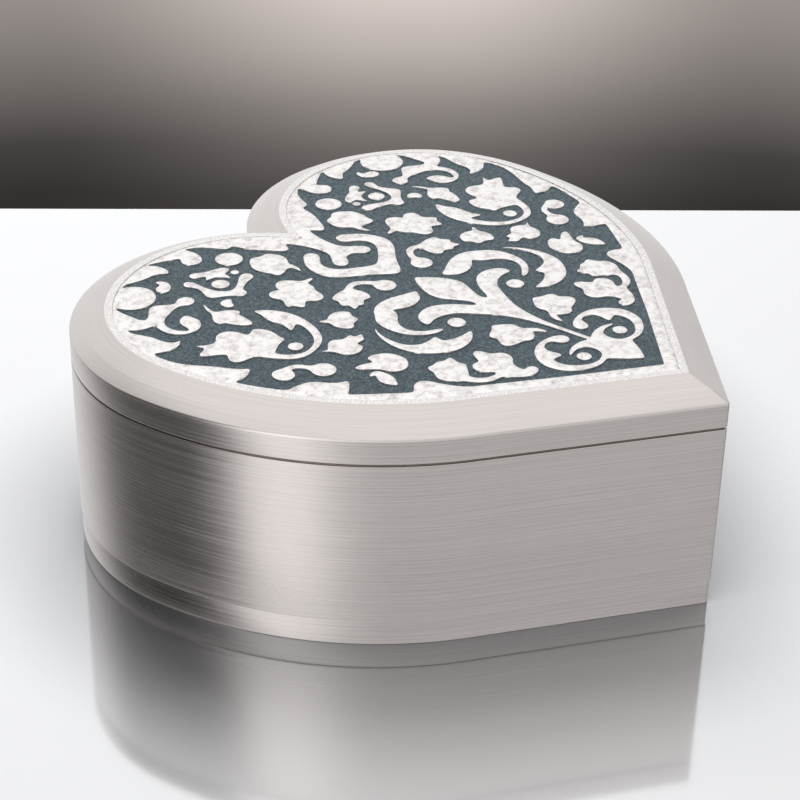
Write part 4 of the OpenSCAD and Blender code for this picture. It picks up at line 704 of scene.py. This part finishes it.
def refine(node, piece, material, body, bevel):
    # the CAD shape of a node, with its edges eased
    mesh = nodes[node].data.copy()
    mesh.name = piece
    stored = mesh.attributes.get("custom_normal")
    if stored:
        mesh.attributes.remove(stored)  # they belong to the loose triangles, not to the merged copy
    work = bmesh.new()
    work.from_mesh(mesh)
    bmesh.ops.remove_doubles(work, verts=work.verts, dist=touching)
    if bevel:
        bmesh.ops.dissolve_limit(work, angle_limit=easing["merged"], verts=work.verts, edges=work.edges)
    work.to_mesh(mesh)
    work.free()
    made = addPiece(piece, mesh, material, body, (node,))
    mesh.shade_smooth()
    if bevel:
        ease = made.modifiers.new("easedEdges", "BEVEL")
        ease.width = bevel * mm
        ease.segments = easing["segments"]
        ease.limit_method = "ANGLE"
        ease.angle_limit = sharpTurn
        ease.miter_outer = "MITER_ARC"
        weigh = made.modifiers.new("flatShading", "WEIGHTED_NORMAL")
        weigh.keep_sharp = True
    else:
        mesh.set_sharp_from_angle(angle=sharpTurn)
    return made


def makeVelvet():
    material, tree, shader = newMaterial("velvet", Sheen_Weight=0.7, Sheen_Roughness=0.4,
                                         Sheen_Tint=finish["velvetSheen"], Specular_IOR_Level=0.1)
    specks = useGroup(tree, granularSpecks, (("Vector", objectPlace(tree)), ("Grain", 4200.0)))
    marks = useGroup(tree, handlingMarks, (("Vector", objectPlace(tree)), ("Size", 45.0)))
    level = spread(tree, specks.outputs["Fine"], 0.3, 0.7, 0.0, 1.0)
    base = mixColour(tree, level, finish["velvetDark"], finish["velvetLight"])
    smear = mathNode(tree, "MULTIPLY", marks.outputs["Smears"], 0.3)
    base = mixColour(tree, smear, base, finish["velvetSmear"])
    tree.links.new(base, shader.inputs["Base Color"])
    tree.links.new(spread(tree, specks.outputs["Coarse"], 0.3, 0.7, 0.85, 1.0), shader.inputs["Roughness"])
    bumpFrom(tree, shader, specks.outputs["Fine"], 1.0, 0.08 * mm)
    return material


velvet = makeVelvet()
plainMetals = (  # name, tone, grain scale, roughness, depth of the grain, contrast
    ("shaftSteel", "steelTone", (1500.0, 1500.0, 1500.0), (0.16, 0.28), 0.002, 0.05),
    ("brass", "brassTone", (1200.0, 1200.0, 1200.0), (0.2, 0.34), 0.003, 0.07),
    ("bedMetal", "zincTone", (500.0, 500.0, 500.0), (0.35, 0.5), 0.006, 0.08),
    ("tunedSteel", "steelTone", (900.0, 40.0, 900.0), (0.18, 0.32), 0.003, 0.12),
    ("platedSteel", "caseTone", (60.0, 900.0, 900.0), (0.2, 0.34), 0.003, 0.12),
    ("springSteel", "blueSteel", (900.0, 900.0, 60.0), (0.2, 0.34), 0.002, 0.12),
    ("screwSteel", "steelTone", (1200.0, 1200.0, 300.0), (0.2, 0.32), 0.002, 0.12),
    ("hingeMetal", "caseTone", (30.0, 30.0, 3600.0), (0.18, 0.28), 0.004, 0.12),
    ("keyMetal", "steelTone", (300.0, 300.0, 300.0), (0.2, 0.36), 0.004, 0.12))
metal = {}
for name, tone, scale, roughness, depth, contrast in plainMetals:
    metal[name] = brushedMetal(name, finish[tone], scale, roughness=roughness, depth=depth, contrast=contrast)


def makePlastic(name, tone, grain, roughness):
    material, tree, shader = newMaterial(name)
    specks = useGroup(tree, granularSpecks, (("Vector", objectPlace(tree)), ("Grain", grain)))
    level = spread(tree, specks.outputs["Coarse"], 0.3, 0.7, 0.0, 1.0)
    lighter = tuple(min(1.0, c * 1.15 + 0.004) for c in tone[:3]) + (1.0,)
    tree.links.new(mixColour(tree, level, tone, lighter), shader.inputs["Base Color"])
    tree.links.new(spread(tree, specks.outputs["Coarse"], 0.3, 0.7, roughness, roughness + 0.14),
                   shader.inputs["Roughness"])
    bumpFrom(tree, shader, specks.outputs["Fine"], 0.5, 0.01 * mm)
    return material


nylon = makePlastic("nylon", finish["nylonTone"], 1500.0, 0.38)
blackPlastic = makePlastic("blackPlastic", finish["blackTone"], 1500.0, 0.3)


def makeClear():
    material, tree, shader = newMaterial("clear", Transmission_Weight=1.0, IOR=1.49)
    marks = useGroup(tree, handlingMarks, (("Vector", objectPlace(tree)), ("Size", 70.0), ("Specks", 2400.0)))
    tree.links.new(spread(tree, marks.outputs["Smears"], 0.0, 1.0, 0.01, 0.04), shader.inputs["Roughness"])
    tint = mixColour(tree, marks.outputs["Dust"], finish["clear"], finish["dust"])
    tree.links.new(tint, shader.inputs["Base Color"])
    return material


clearPlastic = makeClear()

# lid pad: flat against the lid, crowned towards the tray
padShape = {"inset": 2.9, "spacing": 0.9, "grid": 1.1, "edgeRoll": 1.3, "edge": 0.35, "shoulder": 0.75,
            "crown": 9.0, "crownRise": 0.23, "nap": 0.02, "napScale": 0.3, "napSlice": 7.0, "fill": 0.8}


def makeLidPad():
    low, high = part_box("lid_pad")
    top, bottom = high.z / mm, low.z / mm
    depth = top - bottom

    def padHeight(x, y, away):
        roll = min(1.0, away / padShape["edgeRoll"])
        rounded = math.sqrt(1 - (1 - roll) ** 2)
        crown = 1 - (1 - min(1.0, away / padShape["crown"])) ** 2
        spot = Vector((x * padShape["napScale"], y * padShape["napScale"], padShape["napSlice"]))
        nap = padShape["nap"] * noise.noise(spot)
        share = padShape["edge"] + (padShape["shoulder"] - padShape["edge"]) * rounded
        return top - depth * (share + padShape["crownRise"] * crown) - nap

    loops = [resampled(heartRing(padShape["inset"]), padShape["spacing"], 0)]
    return raisedSheet("lidPad", loops, padShape["grid"], padHeight, top)


padPiece = addPiece("lidPad", makeLidPad(), velvet, "lid", ("lid_pad",))
print("lid pad ready")


def newGeometryTree(name, inputs):
    tree = bpy.data.node_groups.new(name, "GeometryNodeTree")
    tree.interface.new_socket("Geometry", in_out="INPUT", socket_type="NodeSocketGeometry")
    for label, kind, value in inputs:
        socket = tree.interface.new_socket(label, in_out="INPUT", socket_type=kind)
        if value is not None:
            socket.default_value = value
    tree.interface.new_socket("Geometry", in_out="OUTPUT", socket_type="NodeSocketGeometry")
    return tree, tree.nodes.new("NodeGroupInput"), tree.nodes.new("NodeGroupOutput")


def finishTree(tree, inside, outside, instances):
    real = addNode(tree, "GeometryNodeRealizeInstances", (("Geometry", instances),))
    made = addNode(tree, "GeometryNodeSetMaterial", (("Geometry", real.outputs[0]),
                                                     ("Material", inside.outputs["Material"])))
    tree.links.new(made.outputs[0], outside.inputs[0])
    return tree


def vectorOf(tree, x, y, z):
    return addNode(tree, "ShaderNodeCombineXYZ", ((0, x), (1, y), (2, z))).outputs[0]


screwShape = {"sides": 40, "shankSides": 20, "drawnIn": 0.12, "slotReach": 2.6, "rowsPerTurn": 6.0,
              "slotWidth": 0.5, "threadDepth": 0.14, "threadPitch": 0.5, "seed": 4}


def makeScrewTree():
    # slotted cheese-head screw on each point, its head upwards or turned over
    tree, inside, outside = newGeometryTree("slottedScrews", (
        ("Head Radius", "NodeSocketFloat", 0.002), ("Head Height", "NodeSocketFloat", 0.001),
        ("Shank Radius", "NodeSocketFloat", 0.001), ("Shank Length", "NodeSocketFloat", 0.006),
        ("Slot Width", "NodeSocketFloat", 0.0005), ("Thread Depth", "NodeSocketFloat", 0.00012),
        ("Thread Pitch", "NodeSocketFloat", 0.0005), ("Tilt", "NodeSocketFloat", 0.0),
        ("Seed", "NodeSocketInt", 4), ("Material", "NodeSocketMaterial", None)))
    get = inside.outputs
    spot = addNode(tree, "GeometryNodeInputPosition").outputs[0]
    parts = addNode(tree, "ShaderNodeSeparateXYZ", ((0, spot),))
    away = outwards(tree, parts.outputs[0], parts.outputs[1])
    # the head is one cylinder whose top ring is drawn in
    blank = addNode(tree, "GeometryNodeMeshCylinder", (
        ("Vertices", screwShape["sides"]), ("Side Segments", 4), ("Radius", get["Head Radius"]),
        ("Depth", get["Head Height"])))
    half = mathNode(tree, "MULTIPLY", get["Head Height"], 0.5)
    isTop = mathNode(tree, "GREATER_THAN", parts.outputs[2], mathNode(tree, "MULTIPLY", half, 0.8))
    drawIn = scaled(tree, away, mathNode(tree, "MULTIPLY", get["Head Radius"], -screwShape["drawnIn"]))
    eased = addNode(tree, "GeometryNodeSetPosition", (
        ("Geometry", blank.outputs["Mesh"]), ("Selection", isTop), ("Offset", drawIn)))
    seated = addNode(tree, "GeometryNodeTransform", (("Geometry", eased.outputs[0]),
                                                     ("Translation", vectorOf(tree, 0.0, 0.0, half))))
    slotLength = mathNode(tree, "MULTIPLY", get["Head Radius"], screwShape["slotReach"])
    slotBar = addNode(tree, "GeometryNodeMeshCube",
                      (("Size", vectorOf(tree, slotLength, get["Slot Width"], get["Head Height"])),))
    slotPlace = vectorOf(tree, 0.0, 0.0, get["Head Height"])
    slotSpot = addNode(tree, "GeometryNodeTransform", (("Geometry", slotBar.outputs["Mesh"]),
                                                       ("Translation", slotPlace)))
    head = addNode(tree, "GeometryNodeMeshBoolean", operation="DIFFERENCE", solver="EXACT")
    tree.links.new(seated.outputs[0], head.inputs["Mesh 1"])
    tree.links.new(slotSpot.outputs[0], head.inputs["Mesh 2"])
    threads = mathNode(tree, "DIVIDE", get["Shank Length"], get["Thread Pitch"])
    rows = mathNode(tree, "ROUND", mathNode(tree, "MULTIPLY", threads, screwShape["rowsPerTurn"]))
    shank = addNode(tree, "GeometryNodeMeshCylinder", (
        ("Vertices", screwShape["shankSides"]), ("Side Segments", rows), ("Radius", get["Shank Radius"]),
        ("Depth", get["Shank Length"])))
    turn = mathNode(tree, "ARCTAN2", parts.outputs[1], parts.outputs[0])
    turns = mathNode(tree, "DIVIDE", parts.outputs[2], get["Thread Pitch"])
    climb = mathNode(tree, "MULTIPLY", turns, 2 * math.pi)
    wave = mathNode(tree, "SUBTRACT", mathNode(tree, "COSINE", mathNode(tree, "SUBTRACT", climb, turn)), 1.0)
    depth = mathNode(tree, "MULTIPLY", mathNode(tree, "MULTIPLY", wave, 0.5), get["Thread Depth"])
    threaded = addNode(tree, "GeometryNodeSetPosition", (("Geometry", shank.outputs["Mesh"]),
                                                         ("Offset", scaled(tree, away, depth))))
    drop = mathNode(tree, "MULTIPLY", get["Shank Length"], -0.5)
    hung = addNode(tree, "GeometryNodeTransform", (("Geometry", threaded.outputs[0]),
                                                   ("Translation", vectorOf(tree, 0.0, 0.0, drop))))
    screw = addNode(tree, "GeometryNodeJoinGeometry")
    tree.links.new(hung.outputs[0], screw.inputs[0])
    tree.links.new(head.outputs["Mesh"], screw.inputs[0])
    spin = addNode(tree, "FunctionNodeRandomValue", (("Seed", get["Seed"]),), data_type="FLOAT")
    spin.inputs[2].default_value = 0.0
    spin.inputs[3].default_value = math.pi
    turned = addNode(tree, "FunctionNodeEulerToRotation",
                     (("Euler", vectorOf(tree, get["Tilt"], 0.0, spin.outputs[1])),))
    placed = addNode(tree, "GeometryNodeInstanceOnPoints", (("Points", get["Geometry"]),
                                                            ("Instance", screw.outputs[0]),
                                                            ("Rotation", turned.outputs[0])))
    return finishTree(tree, inside, outside, placed.outputs[0])


def makePinTree():
    # tapered pin on each point, standing out from the axis of the cylinder
    tree, inside, outside = newGeometryTree("cylinderPins", (
        ("Pin Length", "NodeSocketFloat", 0.001), ("Foot Radius", "NodeSocketFloat", 0.00022),
        ("Tip Radius", "NodeSocketFloat", 0.00014), ("Axis", "NodeSocketVector", (0, 0, 0)),
        ("Material", "NodeSocketMaterial", None)))
    get = inside.outputs
    pin = addNode(tree, "GeometryNodeMeshCone", (
        ("Vertices", 10), ("Radius Top", get["Tip Radius"]), ("Radius Bottom", get["Foot Radius"]),
        ("Depth", get["Pin Length"])))
    spot = addNode(tree, "GeometryNodeInputPosition").outputs[0]
    away = addNode(tree, "ShaderNodeVectorMath", ((0, spot), (1, get["Axis"])),
                   operation="SUBTRACT").outputs[0]
    parts = addNode(tree, "ShaderNodeSeparateXYZ", ((0, away),))
    radial = vectorOf(tree, 0.0, parts.outputs[1], parts.outputs[2])
    aimed = addNode(tree, "FunctionNodeAlignRotationToVector", (("Vector", radial),), axis="Z")
    placed = addNode(tree, "GeometryNodeInstanceOnPoints", (("Points", get["Geometry"]),
                                                            ("Instance", pin.outputs["Mesh"]),
                                                            ("Rotation", aimed.outputs[0])))
    return finishTree(tree, inside, outside, placed.outputs[0])


def grownMesh(name, points, tree, values):
    # runs the tree on the points once and returns its result as a plain mesh
    seeds = bpy.data.meshes.new(name + "Points")
    seeds.from_pydata(points, [], [])
    carrier = bpy.data.objects.new(name + "Points", seeds)
    bpy.context.scene.collection.objects.link(carrier)
    grow = carrier.modifiers.new("grow", "NODES")
    grow.node_group = tree
    sockets = {item.name: item.identifier for item in tree.interface.items_tree
               if item.item_type == "SOCKET" and item.in_out == "INPUT"}
    for label, value in values.items():
        grow[sockets[label]] = value
    grown = carrier.evaluated_get(bpy.context.evaluated_depsgraph_get())
    result = bpy.data.meshes.new_from_object(grown)
    carrier.modifiers.remove(grow)
    bpy.data.objects.remove(carrier)
    result.name = name
    result.shade_smooth()
    result.set_sharp_from_angle(angle=sharpTurn)
    return result


screwTree = makeScrewTree()
screwSets = [  # node, piece, head height, shank radius, head down
    ("base_screws", "baseScrews", 1.3, 1.0, True),
    ("movement_screws", "movementScrews", 1.3, 1.3, True),
    ("comb_screws", "combScrews", 0.9, 0.8, False),
    ("frame_screws", "frameScrews", 0.8, 0.8, False),
    ("housing_screws", "housingScrews", 0.8, 0.8, False)]
for node, piece, headHeight, shank, headDown in screwSets:
    boxes = islandBoxes(node)
    low, high = boxes[0]
    seat = low.z + headHeight * mm if headDown else high.z - headHeight * mm
    points = [((a.x + b.x) / 2, (a.y + b.y) / 2, seat) for a, b in boxes]
    screwMesh = grownMesh(piece, points, screwTree, {
        "Head Radius": (high.x - low.x) / 2, "Head Height": headHeight * mm, "Shank Radius": shank * mm,
        "Shank Length": high.z - low.z - headHeight * mm, "Slot Width": screwShape["slotWidth"] * mm,
        "Thread Depth": screwShape["threadDepth"] * mm, "Thread Pitch": screwShape["threadPitch"] * mm,
        "Tilt": math.pi if headDown else 0.0, "Seed": screwShape["seed"], "Material": metal["screwSteel"]})
    addPiece(piece, screwMesh, None, "case", (node,))
print("screws ready")

drum = {"radius": 6.3, "pinHeight": 0.7, "margin": 0.23, "tracks": 18, "pitch": 1.03, "pinsPerTrack": 6,
        "bore": 5.4, "shaft": 1.0, "plug": 0.8, "cap": 1.0, "ease": 0.12, "sides": 96, "footRadius": 0.22,
        "tipRadius": 0.15, "sunk": 0.3, "trackTurn": 47, "noteTurn": 23}


def spunAlongX(name, profile, axis, start, sides):
    # closed (x, radius) profile turned round an axis along X
    work = bmesh.new()
    rings = []
    for k in range(sides):
        turn = 2 * math.pi * k / sides
        rings.append([work.verts.new((start + x * mm, axis.y + r * mm * math.cos(turn),
                                      axis.z + r * mm * math.sin(turn))) for x, r in profile])
    for k in range(sides):
        here, beyond = rings[k], rings[(k + 1) % sides]
        for i in range(len(profile)):
            j = (i + 1) % len(profile)
            work.faces.new((here[i], here[j], beyond[j], beyond[i]))
    bmesh.ops.recalc_face_normals(work, faces=work.faces)
    mesh = bpy.data.meshes.new(name)
    work.to_mesh(mesh)
    work.free()
    mesh.shade_smooth()
    mesh.set_sharp_from_angle(angle=sharpTurn)
    return mesh


def makeCylinder():
    low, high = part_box("pinned_cylinder")
    shaftLow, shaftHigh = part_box("cylinder_arbor")
    axis = Vector((0, (shaftLow.y + shaftHigh.y) / 2, (shaftLow.z + shaftHigh.z) / 2))
    start = low.x
    points = []
    foot = (drum["radius"] - drum["sunk"]) * mm
    for i in range(drum["tracks"]):
        x = start + (drum["margin"] + (i + 0.5) * drum["pitch"]) * mm
        for k in range(drum["pinsPerTrack"]):
            shift = drum["trackTurn"] * i + drum["noteTurn"] * ((i * k) % 3)
            turn = math.radians(360 * k / drum["pinsPerTrack"] + shift)
            points.append((x, axis.y + foot * math.cos(turn), axis.z + foot * math.sin(turn)))
    pins = grownMesh("cylinderPins", points, makePinTree(), {
        "Pin Length": (drum["sunk"] + drum["pinHeight"]) * mm, "Foot Radius": drum["footRadius"] * mm,
        "Tip Radius": drum["tipRadius"] * mm, "Axis": tuple(axis), "Material": metal["shaftSteel"]})
    addPiece("cylinderPins", pins, None, "cylinder", ("pinned_cylinder",))
    length = (high.x - low.x) / mm
    wall, shaft, ease = drum["radius"], drum["shaft"], drum["ease"]
    profile = [(0, shaft), (0, wall - ease), (ease, wall), (length - ease, wall), (length, wall - ease),
               (length, shaft), (length - drum["cap"], shaft), (length - drum["cap"], drum["bore"]),
               (drum["plug"], drum["bore"]), (drum["plug"], shaft)]
    body = spunAlongX("pinnedCylinder", profile, axis, start, drum["sides"])
    addPiece("pinnedCylinder", body, metal["brass"], "cylinder", ("pinned_cylinder",))


makeCylinder()
print("pinned cylinder ready")

pieces = [
    ("hinge_case_leaf", "hingeCaseLeaf", metal["hingeMetal"], "case_metal", "case", 0.1),
    ("hinge_lid_leaf", "hingeLidLeaf", metal["hingeMetal"], "case_metal", "lid", 0.1),
    ("hinge_pin", "hingePin", metal["shaftSteel"], "screw_steel", "case", 0.1),
    ("tray", "keepsakeTray", velvet, "velvet", "case", 0.35),
    ("clear_cover", "clearCover", clearPlastic, "clear", "case", 0.12),
    ("bedplate", "bedPlate", metal["bedMetal"], "bed_metal", "case", 0.12),
    ("comb", "tunedComb", metal["tunedSteel"], "tuned_steel", "case", 0),
    ("comb_base", "combBase", metal["brass"], "brass", "case", 0.08),
    ("left_bracket", "leftBracket", metal["platedSteel"], "bed_metal", "case", 0.06),
    ("governor_frame", "governorFrame", metal["platedSteel"], "bed_metal", "case", 0.06),
    ("fly_bridge", "flyBridge", metal["platedSteel"], "bed_metal", "case", 0.06),
    ("housing_plate", "housingPlate", metal["platedSteel"], "bed_metal", "case", 0.06),
    ("spring_housing", "springHousing", metal["platedSteel"], "bed_metal", "case", 0.15),
    ("mainspring", "mainSpring", metal["springSteel"], "spring_steel", "case", 0),
    ("stop_bracket", "stopBracket", metal["platedSteel"], "bed_metal", "case", 0.06),
    ("cylinder_arbor", "cylinderArbor", metal["shaftSteel"], "shaft_steel", "cylinder", 0.05),
    ("cylinder_pinion", "cylinderPinion", metal["brass"], "brass", "cylinder", 0.04),
    ("cylinder_gear", "cylinderGear", metal["brass"], "brass", "cylinder", 0.04),
    ("great_wheel", "greatWheel", metal["brass"], "brass", "great_wheel", 0.04),
    ("click_spring", "clickSpring", metal["springSteel"], "spring_steel", "great_wheel", 0.03),
    ("winding_arbor", "windingArbor", metal["shaftSteel"], "shaft_steel", "key", 0.06),
    ("ratchet_wheel", "ratchetWheel", metal["shaftSteel"], "shaft_steel", "key", 0.03),
    ("winding_key", "windingKey", metal["keyMetal"], "key_metal", "key", 0.2),
    ("governor_shaft", "governorShaft", metal["shaftSteel"], "shaft_steel", "governor", 0.03),
    ("governor_pinion", "governorPinion", metal["brass"], "brass", "governor", 0.02),
    ("worm_wheel", "wormWheel", nylon, "nylon", "governor", 0.03),
    ("worm", "wormScrew", metal["shaftSteel"], "shaft_steel", "fly", 0),
    ("fly", "flyWings", blackPlastic, "black_plastic", "fly", 0.05),
    ("brake_disc", "brakeDisc", metal["brass"], "brass", "fly", 0.05),
    ("stop_rod", "stopRod", metal["shaftSteel"], "shaft_steel", "stop", 0.05),
    ("stop_collar", "stopCollar", metal["brass"], "brass", "stop", 0.04),
]
for node, piece, material, slotName, body, bevel in pieces:
    refine(node, piece, material, body, bevel)
nodes["stop_spring"].data.materials.clear()
nodes["stop_spring"].data.materials.append(metal["springSteel"])
print("movement and fittings ready")

# the table: its corners from the box's middle, how far its painted contact shade reaches, and how much of the
# box it mirrors
tabletop = {"back": 0.11, "half": 1.2, "front": 1.6, "turn": 2.1, "thick": 0.02, "gloss": 0.08,
            "paintedShadeReach": 0.03, "paintedShadeSamples": 12, "mirrorNear": 0.72, "mirrorFar": 0.42,
            "mirrorAround": 0.9, "fadeFrom": 0.056, "fadeTo": 0.086}


def makeTable(forward, side):
    material, tree, shader = newMaterial("tableTop", Roughness=0.05, Specular_IOR_Level=0.5)
    path = addNode(tree, "ShaderNodeLightPath")
    seenDirectly = path.outputs["Is Camera Ray"]
    # painted shade: ambient occlusion darkens the table's colour and its mirror tint where the table meets
    # the box
    paintedShadeOcclusion = addNode(tree, "ShaderNodeAmbientOcclusion", (("Distance", tabletop["paintedShadeReach"]),),
                       samples=tabletop["paintedShadeSamples"])
    paintedShadeMask = spread(tree, paintedShadeOcclusion.outputs["AO"], 0.5, 1.0, 0.0, 1.0)
    tableColourWithPaintedShade = mixColour(tree, paintedShadeMask, finish["paintedContactShade"], finish["tableWhite"])
    tree.links.new(tableColourWithPaintedShade, shader.inputs["Base Color"])
    mirrorTone = mixColour(tree, paintedShadeMask, finish["paintedMirrorShade"], finish["mirrorTone"])
    tint = mixColour(tree, seenDirectly, finish["mirrorAround"], mirrorTone)
    gloss = addNode(tree, "ShaderNodeBsdfGlossy", (("Color", tint), ("Roughness", tabletop["gloss"])))
    # painted reflection: the mirror share is set by distance from the box's middle, so the mirror image of
    # the box is clear at its foot and fades with distance
    reach = addNode(tree, "ShaderNodeVectorMath", ((0, objectPlace(tree)),),
                    operation="LENGTH").outputs["Value"]
    paintedReflectionFade = spread(tree, reach, tabletop["fadeFrom"], tabletop["fadeTo"],
                    tabletop["mirrorNear"], tabletop["mirrorFar"])
    share = addNode(tree, "ShaderNodeMix", ((0, seenDirectly), (2, tabletop["mirrorAround"]), (3, paintedReflectionFade)),
                    data_type="FLOAT").outputs[0]
    blend = addNode(tree, "ShaderNodeMixShader", ((0, share), (1, shader.outputs[0]), (2, gloss.outputs[0])))
    tree.links.new(blend.outputs[0], tree.nodes["Material Output"].inputs["Surface"])
    turn = math.radians(tabletop["turn"])
    forward, side = (forward * math.cos(turn) - side * math.sin(turn),
                     side * math.cos(turn) + forward * math.sin(turn))
    back, half, front = tabletop["back"], tabletop["half"], tabletop["front"]
    corners = [forward * back - side * half, forward * -front - side * half, forward * -front + side * half,
               forward * back + side * half]
    mesh = bpy.data.meshes.new("table")
    down = Vector((0, 0, -tabletop["thick"]))
    mesh.from_pydata(corners + [c + down for c in corners], [],
                     [(0, 1, 2, 3), (7, 6, 5, 4), (0, 4, 5, 1), (1, 5, 6, 2), (2, 6, 7, 3), (3, 7, 4, 0)])
    mesh.materials.append(material)
    table = bpy.data.objects.new("table", mesh)
    bpy.context.scene.collection.objects.link(table)


shot = {"azimuth": -54.46, "elevation": 29.83, "roll": 1.06, "distance": 0.34952, "lens": 95.25,
        "shiftX": 0.0025, "shiftY": -0.038, "aimForward": 10.4, "aimHeight": 20.8, "nearest": 0.01}


def makeCamera():
    target = Vector((0, (centreY - shot["aimForward"]) * mm, shot["aimHeight"] * mm))
    az, el, roll = (math.radians(shot[k]) for k in ("azimuth", "elevation", "roll"))
    back = Vector((math.sin(az) * math.cos(el), -math.cos(az) * math.cos(el), math.sin(el)))
    right = Vector((math.cos(az), math.sin(az), 0))
    up = back.cross(right)
    leaned = right * math.cos(roll) + up * math.sin(roll)
    upright = up * math.cos(roll) - right * math.sin(roll)
    data = bpy.data.cameras.new("camera")
    data.lens = shot["lens"]
    data.sensor_width = 36
    data.shift_x = shot["shiftX"]
    data.shift_y = shot["shiftY"]
    data.clip_start = shot["nearest"]
    camera = bpy.data.objects.new("camera", data)
    bpy.context.scene.collection.objects.link(camera)
    place = Matrix((leaned, upright, back)).transposed().to_4x4()
    place.translation = target + back * shot["distance"]
    camera.matrix_world = place
    bpy.context.scene.camera = camera
    return Vector((-back.x, -back.y, 0)).normalized(), right


forward, side = makeCamera()
makeTable(forward, side)


# square lamps: how far towards the back, to the side and up from the point they face
lamps = {"overheadBox": {"forward": 0.1, "side": 0.0, "up": 0.7, "size": 0.9, "power": 0.5},
         "backBox": {"forward": 0.36, "side": -0.1, "up": 0.6, "size": 0.36, "power": 4.4}}
lampAim = Vector((0, 0, 0.02))


def addLamp(name):
    lamp = lamps[name]
    data = bpy.data.lights.new(name, "AREA")
    data.size = lamp["size"]
    data.energy = lamp["power"]
    holder = bpy.data.objects.new(name, data)
    bpy.context.scene.collection.objects.link(holder)
    away = forward * lamp["forward"] + side * lamp["side"] + Vector((0, 0, lamp["up"]))
    holder.location = lampAim + away
    holder.rotation_euler = away.to_track_quat("Z", "Y").to_euler()
    return holder


addLamp("overheadBox")
# broad soft light from behind, which metal doesn't mirror; it lays a soft shadow in front of the box
backLight = addLamp("backBox")
backLight.visible_glossy = False
backLight.visible_transmission = False  # nor does what shows through the clear cover


def toneRamp(tree, value, low, high, stops):
    # stops: (value, level) pairs, read between low and high
    ramp = addNode(tree, "ShaderNodeValToRGB", ((0, spread(tree, value, low, high, 0.0, 1.0)),))
    elements = ramp.color_ramp.elements
    placed = [((at - low) / (high - low), level) for at, level in stops]
    for element, (at, level) in zip((elements[0], elements[1]), (placed[0], placed[-1])):
        element.position, element.color = at, (level, level, level, 1)
    for at, level in placed[1:-1]:
        elements.new(at).color = (level, level, level, 1)
    return ramp.outputs[0]


# cards and dark gaps round the set: bearing in degrees from the camera's side, and brightness
cardTones = (
    (-180, 1.05), (-135, 1.1), (-118, 0.8), (-98, 0.2), (-78, 0.02), (-52, 0.01), (-44, 0.3), (-37, 2.0),
    (-20, 2.0), (-9, 1.05), (2, 0.86), (40, 0.9), (90, 0.5), (135, 0.8), (180, 1.05))
# the backdrop from its foot upwards, in the middle and to both sides: height, and the level seen
backdrop = {
    "low": -0.45, "high": -0.31, "glowFrom": 0.01, "glowTo": 0.17, "diffuse": 0.26,
    "middle": ((-0.45, 60), (-0.425, 78), (-0.405, 108), (-0.385, 140), (-0.362, 180), (-0.338, 208),
               (-0.31, 216)),
    "sides": ((-0.45, 44), (-0.42, 50), (-0.4, 66), (-0.375, 108), (-0.345, 140), (-0.31, 160))}


def backdropRamp(tree, height, part):
    stops = [(at, linear(level)) for at, level in backdrop[part]]
    return toneRamp(tree, height, backdrop["low"], backdrop["high"], stops)


def makeWorld():
    world = bpy.data.worlds.new("studioWorld")
    world.use_nodes = True
    bpy.context.scene.world = world
    tree = world.node_tree
    shade = tree.nodes["Background"]
    direction = addNode(tree, "ShaderNodeTexCoord").outputs["Generated"]
    height = addNode(tree, "ShaderNodeSeparateXYZ", ((0, direction),)).outputs[2]

    def along(axis):
        return addNode(tree, "ShaderNodeVectorMath", ((0, direction), (1, tuple(axis))),
                       operation="DOT_PRODUCT").outputs["Value"]

    across, away = along(side), along(forward)
    facing = mathNode(tree, "MULTIPLY", away, -1.0)
    bearing = mathNode(tree, "MULTIPLY", mathNode(tree, "ARCTAN2", across, facing), 180 / math.pi)
    cards = toneRamp(tree, bearing, -180.0, 180.0, cardTones)
    overhead = spread(tree, height, 0.62, 0.9, 0.0, 1.0)
    reflected = mixColour(tree, overhead, cards, finish["overhead"])
    # a glow in the middle, darker to both sides
    glow = ((0, mathNode(tree, "ABSOLUTE", across)), (1, backdrop["glowFrom"]), (2, backdrop["glowTo"]))
    aside = addNode(tree, "ShaderNodeMapRange", glow, interpolation_type="SMOOTHSTEP").outputs[0]
    behind = mixColour(tree, aside, backdropRamp(tree, height, "middle"), backdropRamp(tree, height, "sides"))
    behind = mixColour(tree, 1.0, behind, finish["backdropTint"], "MULTIPLY")
    path = addNode(tree, "ShaderNodeLightPath")
    mirrored = mathNode(tree, "MAXIMUM", path.outputs["Is Glossy Ray"], path.outputs["Is Transmission Ray"])
    lit = mixColour(tree, mirrored, (backdrop["diffuse"],) * 3 + (1,), reflected)
    tree.links.new(mixColour(tree, path.outputs["Is Camera Ray"], lit, behind), shade.inputs["Color"])
    shade.inputs["Strength"].default_value = 1.0


makeWorld()
bpy.context.scene.view_settings.view_transform = "Standard"
print("studio ready")
